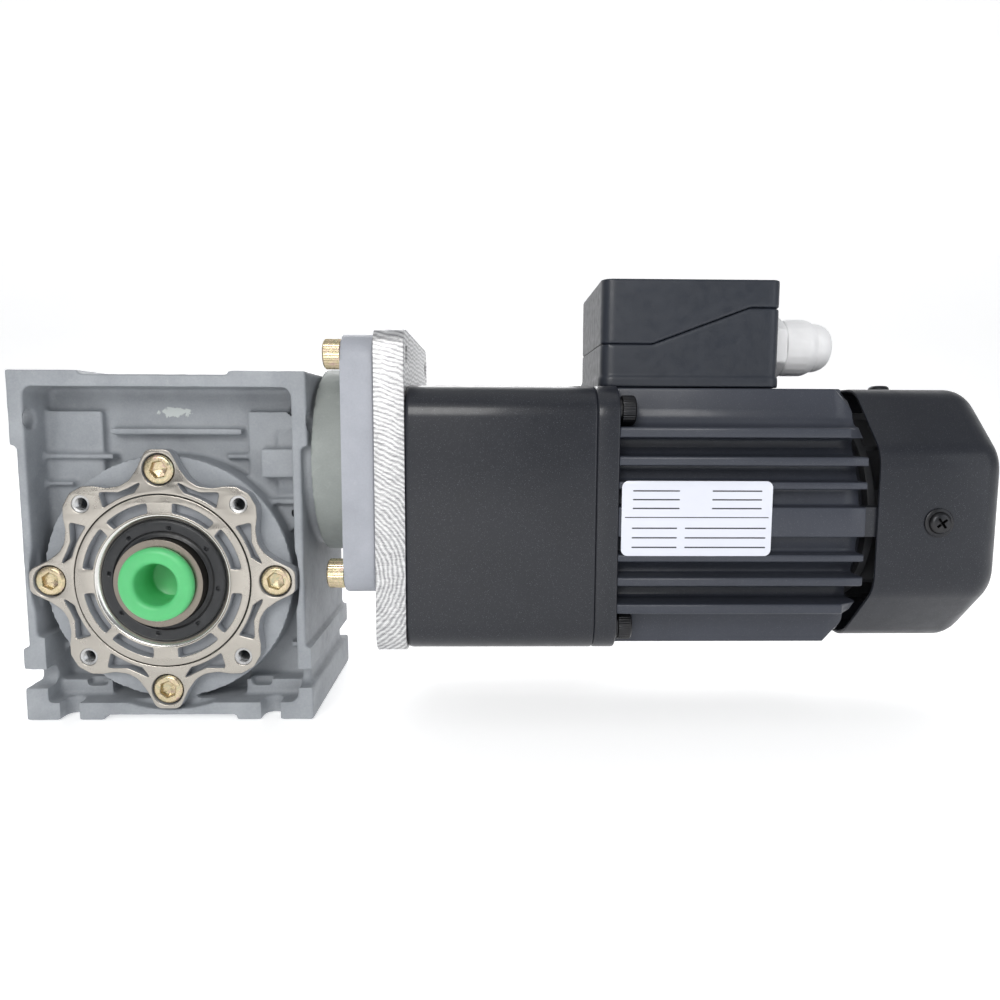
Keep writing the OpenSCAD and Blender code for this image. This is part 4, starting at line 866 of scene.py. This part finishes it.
def build_adapter():
    low, high = spans("adapter_plate")
    width, height, middle = high.y - low.y, high.z - low.z, (high.z + low.z) / 2
    screws = [circle(3.0, 24, sy * BOLT_REACH, z + sz * BOLT_REACH - middle)
              for z in (WORM_LINE[2], MOTOR_LINE[2]) for sy, sz in CORNERS]
    bm = bmesh.new()
    plate(bm, [rounded_rect(width, height, 7, 8), circle(17.5, 96, 0, WORM_LINE[2] - middle)] + screws,
          low.x, high.x, place(0, 0, middle, "+X"), 0.22)
    # torn burrs left along the sawn edges
    for i in range(54):
        x = high.x - 0.15 if i % 3 else low.x + 0.2
        z = random.uniform(low.z + 8, high.z - 8)
        size = random.uniform(0.18, 0.55)
        base = Vector((x, low.y + 0.12, z))
        tip = base + Vector((random.uniform(0.1, 0.5) * (1 if i % 3 else -0.4), -0.10,
                             random.uniform(-1.4, 1.4))) * size
        corners = [base + Vector((-0.14, 0.1, -size * 0.7)), base + Vector((0.14, 0.1, -size * 0.2)),
                   base + Vector((0.0, 0.16, size * 0.8))]
        points = [bm.verts.new(p) for p in corners + [tip]]
        for a, b, c in ((0, 2, 1), (0, 1, 3), (1, 2, 3), (2, 0, 3)):
            bm.faces.new((points[a], points[b], points[c]))
    piece("sawn_adapter_plate", bm, SAWN, replaces=["adapter_plate"], sharp=40)


# ---------------------------------------------------------------- gearhead and motor


def square_rings(size, radius, steps, matrix, levels):
    """Rings of a rounded square at (height, inset) levels."""
    return [loop(rounded_rect(size - 2 * i, size - 2 * i, max(radius - i, 0.6), steps), h, matrix)
            for h, i in levels]


def round_rings(sides_outline, levels, matrix, centre=(0.0, 0.0)):
    """Rings of circles whose points face the corners of an outline."""
    angles = [math.atan2(y, x) for x, y in sides_outline]
    return [[matrix @ Vector((centre[0] + r * math.cos(a), centre[1] + r * math.sin(a), h))
             for a in angles]
            for r, h in levels]


def build_gearhead():
    low, high = spans("gearhead_case")
    size = high.y - low.y
    at = place(0, 0, MOTOR_LINE[2], "+X")
    shape = rounded_rect(size, size, 11, 12)
    shaft = (0.0, WORM_LINE[2] - MOTOR_LINE[2])
    x0, x1 = low.x, high.x
    rings = square_rings(size, 11, 12, at, [(x0, 1.1), (x0 + 0.3, 0.45), (x0 + 0.9, 0.1), (x0 + 1.6, 0.0),
                                            (x1 - 0.8, 0.0), (x1 - 0.35, 0.1), (x1, 0.5)])
    rings += round_rings(shape, [(41.0, x1), (41.0, x1 - 16), (40.0, x1 - 16), (40.0, x0 + 8)], at)
    rings += round_rings(shape, [(18.5, x0 + 8), (18.5, x0 + 13), (16.0, x0 + 13), (16.0, x0 + 2),
                                 (9.0, x0 + 2), (9.0, x0)],
                         at, shaft)
    bm = bmesh.new()
    skin(bm, rings, wrap=True)
    piece("gearhead_housing", bm, BLACK, replaces=["gearhead_case"], sharp=40)
    low, high = spans("motor_front_bracket")
    x0, x1 = x1, spans("motor_frame")[0].x
    rings = square_rings(size, 11, 12, at,
                         [(x0, 0.55), (x0 + 0.35, 0.1), (x0 + 0.8, 0.0), (x1 - 0.7, 0.0),
                                            (x1 - 0.3, 0.12), (x1, 0.5)])
    rings += round_rings(shape, [(21, x1), (21, x1 + 8), (17.5, x1 + 8), (17.5, x1 - 3.5), (9, x1 - 3.5),
                                 (9, low.x), (16, low.x), (16, x0 - 1), (36, x0 - 1), (36, low.x),
                                 (40.95, low.x), (40.95, x0)], at)
    bm = bmesh.new()
    skin(bm, rings, wrap=True)
    piece("motor_bracket", bm, BLACK, replaces=["motor_front_bracket"], sharp=40)


def frame_outline():
    """Outer outline of the finned motor frame, with fins on all four sides."""
    half_side = [((5.0, 45.0), 0.7), ((5.0, 39.7), 1.2), ((11.0, 38.5), 1.2), ((11.0, 45.0), 0.7),
                 ((13.4, 45.0), 0.7), ((13.4, 37.7), 1.5), ((18.7, 35.4), 1.5), ((18.7, 45.0), 0.8),
                 ((21.7, 45.0), 0.8), ((21.7, 33.6), 1.6), ((24.4, 32.2), 1.0), ((27.9, 32.2), 1.6),
                 ((27.9, 44.6), 0.8), ((31.3, 44.6), 0.9)]
    side = [((-u, v), r) for (u, v), r in half_side[::-1]] + half_side
    side.append(((31.3, 31.3), 7.5))
    points, radii = [], []
    for q in range(4):
        a = -math.radians(q * 90)
        for (u, v), r in side:
            points.append((u * math.cos(a) - v * math.sin(a), u * math.sin(a) + v * math.cos(a)))
            radii.append(r)
    return fillet(points, radii, 4)


def build_frame():
    low, high = spans("motor_frame")
    at = place(0, 0, MOTOR_LINE[2], "+X")
    outline = frame_outline()
    x0, x1 = low.x, high.x

    def cut_back(limit, inset=0.0):
        """The outline with the corner fins cut back to a slanted line, and all of it inset."""
        shape = []
        for u, v in outline:
            over = max(0.0, abs(u) + abs(v) - limit)
            if abs(v) > abs(u):
                v -= math.copysign(over, v)
            else:
                u -= math.copysign(over, u)
            shape.append((u * (1 - inset / 45), v * (1 - inset / 45)))
        return shape

    levels = [(x0, 76, 0.3), (x0 + 0.4, 76, 0), (x1 - 7.0, 76, 0), (x1 - 6.4, 75.3, 0),
              (x1 - 0.5, 68.6, 0), (x1, 68.0, 0.35)]
    bm = bmesh.new()
    rows = skin(bm, [loop(cut_back(limit, inset), x, at) for x, limit, inset in levels], caps=False)
    bore = skin(bm, [loop(circle(37.0, 128), x, at) for x in (x0, x1)], caps=False)
    fill(bm, [rows[0], bore[0]])
    fill(bm, [rows[-1], bore[-1]])
    piece("finned_motor_frame", bm, BLACK_FRAME_DUST_AND_PAINTED_LIGHT, replaces=["motor_frame"], sharp=40)


def octagon(size, cut, radius=13.0, steps=9):
    """A square with cut and rounded corners."""
    h, c = size / 2, size / 2 - cut
    return fillet([(h, -c), (h, c), (c, h), (-c, h), (-h, c), (-h, -c), (-c, -h), (c, -h)], radius, steps)


def build_fan_cover():
    low, high = spans("fan_cover")
    at = place(0, 0, MOTOR_LINE[2], "+X")
    size, cut, edge, sheet = high.y - low.y, 22.0, 10.0, 1.2
    x0, x1 = low.x, high.x
    steps = 9

    def shell(inset, x):
        return loop(octagon(size - 2 * inset, cut - 0.6 * inset), x, at)

    outer = [shell(0.35, x0), shell(0.08, x0 + 0.15), shell(0.0, x0 + 0.5)]
    for k in range(steps + 1):
        a = math.pi / 2 * k / steps
        outer.append(shell(edge * (1 - math.cos(a)), x1 - edge + edge * math.sin(a)))
    inner = [shell(0.75, x0), shell(sheet, x0 + 0.3)]
    bend = edge - sheet
    for k in range(steps + 1):
        a = math.pi / 2 * k / steps
        inner.append(shell(sheet + bend * (1 - math.cos(a)), x1 - edge + bend * math.sin(a)))
    bm = bmesh.new()
    outside = skin(bm, outer, caps=False)
    inside = skin(bm, inner, caps=False)
    for i in range(len(outside[0])):
        j = (i + 1) % len(outside[0])
        bm.faces.new((outside[0][i], outside[0][j], inside[0][j], inside[0][i]))
    slots_out, slots_in = [], []
    for band in range(4):
        for i in range(12):
            near, far = 10 + band * 6.5, 13.2 + band * 6.5
            shape = fillet(arc(near, 4 + i * 30, 26 + i * 30, 6) + arc(far, 26 + i * 30, 4 + i * 30, 6),
                           0.7, 3)
            walls = skin(bm, [loop(shape, x1, at), loop(shape, x1 - sheet, at)], caps=False)
            slots_out.append(walls[0])
            slots_in.append(walls[1])
    fill(bm, [outside[-1]] + slots_out)
    fill(bm, [inside[-1]] + slots_in)
    piece("fan_cowl", bm, BLACK_FAN, replaces=["fan_cover"], sharp=40)


def build_cowl_screws():
    low, high = spans("fan_cover_screws")
    x = (low.x + high.x) / 2
    seat = 45.05
    bm = bmesh.new()
    for q, (dy, dz, axis) in enumerate(((0, 1, "+Z"), (-1, 0, "-Y"), (0, -1, "-Z"), (1, 0, "+Y"))):
        at = place(x, dy * seat, MOTOR_LINE[2] + dz * seat, axis, 8 + 31 * q)
        one = bmesh.new()
        turned(one, [(0.05, -8), (1.4, -8), (1.9, -7.4), (1.9, 0), (4.7, 0), (4.85, 0.15), (4.85, 0.45),
                     (4.6, 0.62), (3.75, 0.66), (3.7, 0.8), (3.62, 1.2), (3.3, 1.7), (2.7, 2.05),
                     (1.8, 2.18), (0.05, 2.2)], at, 72)
        bmesh.ops.recalc_face_normals(one, faces=one.faces)
        slots = []
        for spin in (0, 90):
            cutter = bmesh.new()
            turn = at @ Matrix.Rotation(math.radians(spin), 4, "Z")
            levels = [(0.7, 1.5, 0.28), (2.4, 2.15, 0.46)]
            corners = ((1, 1), (-1, 1), (-1, -1), (1, -1))
            skin(cutter, [[turn @ Vector((sx * w, sy * t, h)) for sx, sy in corners]
                          for h, w, t in levels])
            slots.append(cutter)
        join(bm, carve(one, *slots))
    piece("cowl_screws", bm, OXIDE, replaces=["fan_cover_screws"], sharp=32)


def build_label():
    low, high = spans("rating_label")
    centre = (low + high) / 2
    w, h = high.x - low.x, high.z - low.z
    at = place(centre.x, 0, centre.z, "-Y")
    bm = bmesh.new()
    plate(bm, [rounded_rect(w, h, 2.2, 8)], -high.y, -low.y - 0.04, at, 0.07, 1)
    piece("blank_rating_label", bm, FILM, replaces=["rating_label"], sharp=40)
    # a plain ruled form: one divider and empty field lines
    bm = bmesh.new()
    top = -low.y
    bars = [(0.0, 0.4, w - 2.2, 0.32)]
    bars += [(13.2, 9.2 - 2.9 * i, 16.5, 0.45) for i in range(3)]
    bars += [(-13.6, 9.2 - 2.9 * i, 15.5, 0.45) for i in range(3)]
    bars += [(-14.0, -3.2 - 3.2 * i, 15.0, 0.45) for i in range(3)]
    bars += [(9.6, -3.2 - 3.2 * i, 27.0, 0.45) for i in range(3)]
    for x, y, length, thick in bars:
        plate(bm, [[(x + px, y + py) for px, py in rounded_rect(length, thick, thick * 0.35, 2)]],
              top - 0.05, top - 0.005, at, 0.01, 0)
    piece("label_rules", bm, INK, sharp=40)


def build_terminal_box():
    for node, name in (("terminal_box_base", "terminal_box_lower"),
                       ("terminal_box_lid", "terminal_box_cover")):
        bm = cast_shape(node, 0.55, 3, 0.5)
        piece(name, bm, BOX, replaces=[node], sharp=50)


def build_gland():
    high = spans("gland_body")[1]
    z = mid("gland_nut").z
    wall = spans("terminal_box_lid")[1].x
    hexa = hexagon(20.8)
    bm = bmesh.new()
    profile = [(5.0, -6.0), (7.9, -6.0), (7.9, 0.1), (lambda a: min(hexa(a), 11.4), 0.1),
               (lambda a: min(hexa(a), 11.9), 0.5), (lambda a: min(hexa(a), 12.0), 1.0),
               (lambda a: min(hexa(a), 12.0), 8.4), (lambda a: min(hexa(a), 11.7), 9.0),
               (lambda a: min(hexa(a), 11.1), 9.4), (8.55, 9.45)]
    for i in range(6):
        profile.append((8.55 if i % 2 else 8.2, 9.6 + i * 0.7))
    profile += [(8.2, high.x - wall), (5.0, high.x - wall)]
    turned(bm, profile, place(wall, 0, z, "+X"), 96, wrap=True)
    piece("gland_base", bm, WHITE, replaces=["gland_body"], sharp=40)
    low, high = spans("gland_nut")
    length = high.x - low.x
    grip = knurl(10.66, 0.12, 24)
    bm = bmesh.new()
    profile = [(8.7, 0.0), (10.1, 0.0), (10.45, 0.25), (10.55, 0.8), (grip, 1.3), (grip, 7.6),
               (10.6, 8.2), (10.5, 8.9), (10.2, 9.9), (9.7, 10.9), (9.2, 11.6), (9.05, 12.0),
               (9.15, 12.5), (9.05, 13.6), (8.7, 14.9), (8.05, 16.3), (7.2, 17.4), (6.4, length - 0.15),
               (5.9, length), (5.5, length - 0.2), (5.2, length - 0.8), (5.2, 5.0), (8.7, 5.0)]
    turned(bm, profile, place(low.x, 0, z, "+X"), 192, wrap=True)
    piece("gland_dome_nut", bm, WHITE, replaces=["gland_nut"], sharp=40)


build_housing()
build_cover()
build_screws()
build_seals()
build_plug()
build_flange()
build_adapter()
build_gearhead()
build_frame()
build_fan_cover()
build_cowl_screws()
build_label()
build_terminal_box()
build_gland()

for look, slot, nodes in CAD_LOOKS:
    for obj in [NODES[node] for node in nodes]:
        obj.data.materials.clear()
        obj.data.materials.append(look)
        for polygon in obj.data.polygons:
            polygon.material_index = 0


# ---------------------------------------------------------------- stage, light and camera


def build_stage():
    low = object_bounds()[0]
    look = Look("studio_floor", Roughness=0.6, Emission_Strength=0.50)
    look.set("Emission Color", (1.0, 1.0, 1.0, 1.0))
    look.set("Base Color", look.mix(look.noise(180.0, 2.0), (0.84, 0.84, 0.845), (0.88, 0.88, 0.88)))
    look.bump(look.noise(2.0), 0.05, 0.05)
    bm = bmesh.new()
    depth, back, rise, bend = 3.0, 1.6, 2.6, 0.7
    path = [(-depth, 0.0), (back - bend, 0.0)]
    path += [(back - bend + bend * math.sin(math.radians(a)), bend - bend * math.cos(math.radians(a)))
             for a in range(9, 91, 9)]
    path.append((back, rise))
    rows = [[bm.verts.new((x, y, z + low.z - 0.0002)) for x in (-4.0, 4.0)] for y, z in path]
    for a, b in zip(rows, rows[1:]):
        bm.faces.new((a[0], a[1], b[1], b[0])).smooth = True
    mesh = bpy.data.meshes.new("studio_sweep")
    bm.to_mesh(mesh)
    bm.free()
    mesh.materials.append(look.material)
    floor = bpy.data.objects.new("studio_sweep", mesh)
    bpy.context.scene.collection.objects.link(floor)


def area_light(name, at, target, size, power, color=(1, 1, 1)):
    data = bpy.data.lights.new(name, "AREA")
    data.shape = "RECTANGLE"
    data.size, data.size_y = size
    data.energy = power
    data.color = color
    obj = bpy.data.objects.new(name, data)
    obj.location = at
    obj.rotation_euler = (Vector(target) - Vector(at)).to_track_quat("-Z", "Y").to_euler()
    bpy.context.scene.collection.objects.link(obj)


def build_lights():
    world = bpy.data.worlds.new("studio")
    world.use_nodes = True
    nodes, links = world.node_tree.nodes, world.node_tree.links
    # the room is darker on the side of the camera
    way = nodes.new("ShaderNodeTexCoord")
    split = nodes.new("ShaderNodeSeparateXYZ")
    fade = nodes.new("ShaderNodeMapRange")
    links.new(way.outputs["Generated"], split.inputs[0])
    links.new(split.outputs["Y"], fade.inputs[0])
    for i, value in enumerate((-0.9, 0.1, 0.26, 0.34), 1):
        fade.inputs[i].default_value = value
    links.new(fade.outputs[0], nodes["Background"].inputs[1])
    nodes["Background"].inputs[0].default_value = (0.95, 0.97, 1.0, 1.0)
    bpy.context.scene.world = world
    centre = (0.11, 0.0, 0.03)
    area_light("top_softbox", (0.05, -0.10, 0.95), centre, (1.1, 0.7), 1.0)
    area_light("key_softbox", (-0.15, -1.10, 0.55), centre, (0.6, 0.5), 7.8, (1.0, 0.99, 0.97))
    area_light("right_softbox", (1.0, -0.75, 0.35), centre, (0.5, 0.8), 2.0, (0.94, 0.97, 1.0))
    area_light("back_softbox", (0.1, 1.1, 0.8), centre, (1.0, 0.4), 6.5)


def build_camera():
    data = bpy.data.cameras.new("camera")
    data.lens = 27.4
    data.clip_start = 0.005
    data.shift_x, data.shift_y = -0.0059, 0.0056
    camera = bpy.data.objects.new("camera", data)
    camera.location = (0.1119, -0.2937, 0.0546)
    turn = Matrix.Rotation(math.radians(-1.2), 4, "Z") @ Matrix.Rotation(math.radians(-6.24), 4, "X")
    turn = turn @ Matrix.Rotation(math.radians(-0.26), 4, "Y") @ Matrix.Rotation(math.radians(90), 4, "X")
    camera.rotation_euler = turn.to_euler()
    bpy.context.scene.collection.objects.link(camera)
    bpy.context.scene.camera = camera


build_stage()
build_lights()
build_camera()
bpy.context.scene.view_settings.view_transform = "Standard"
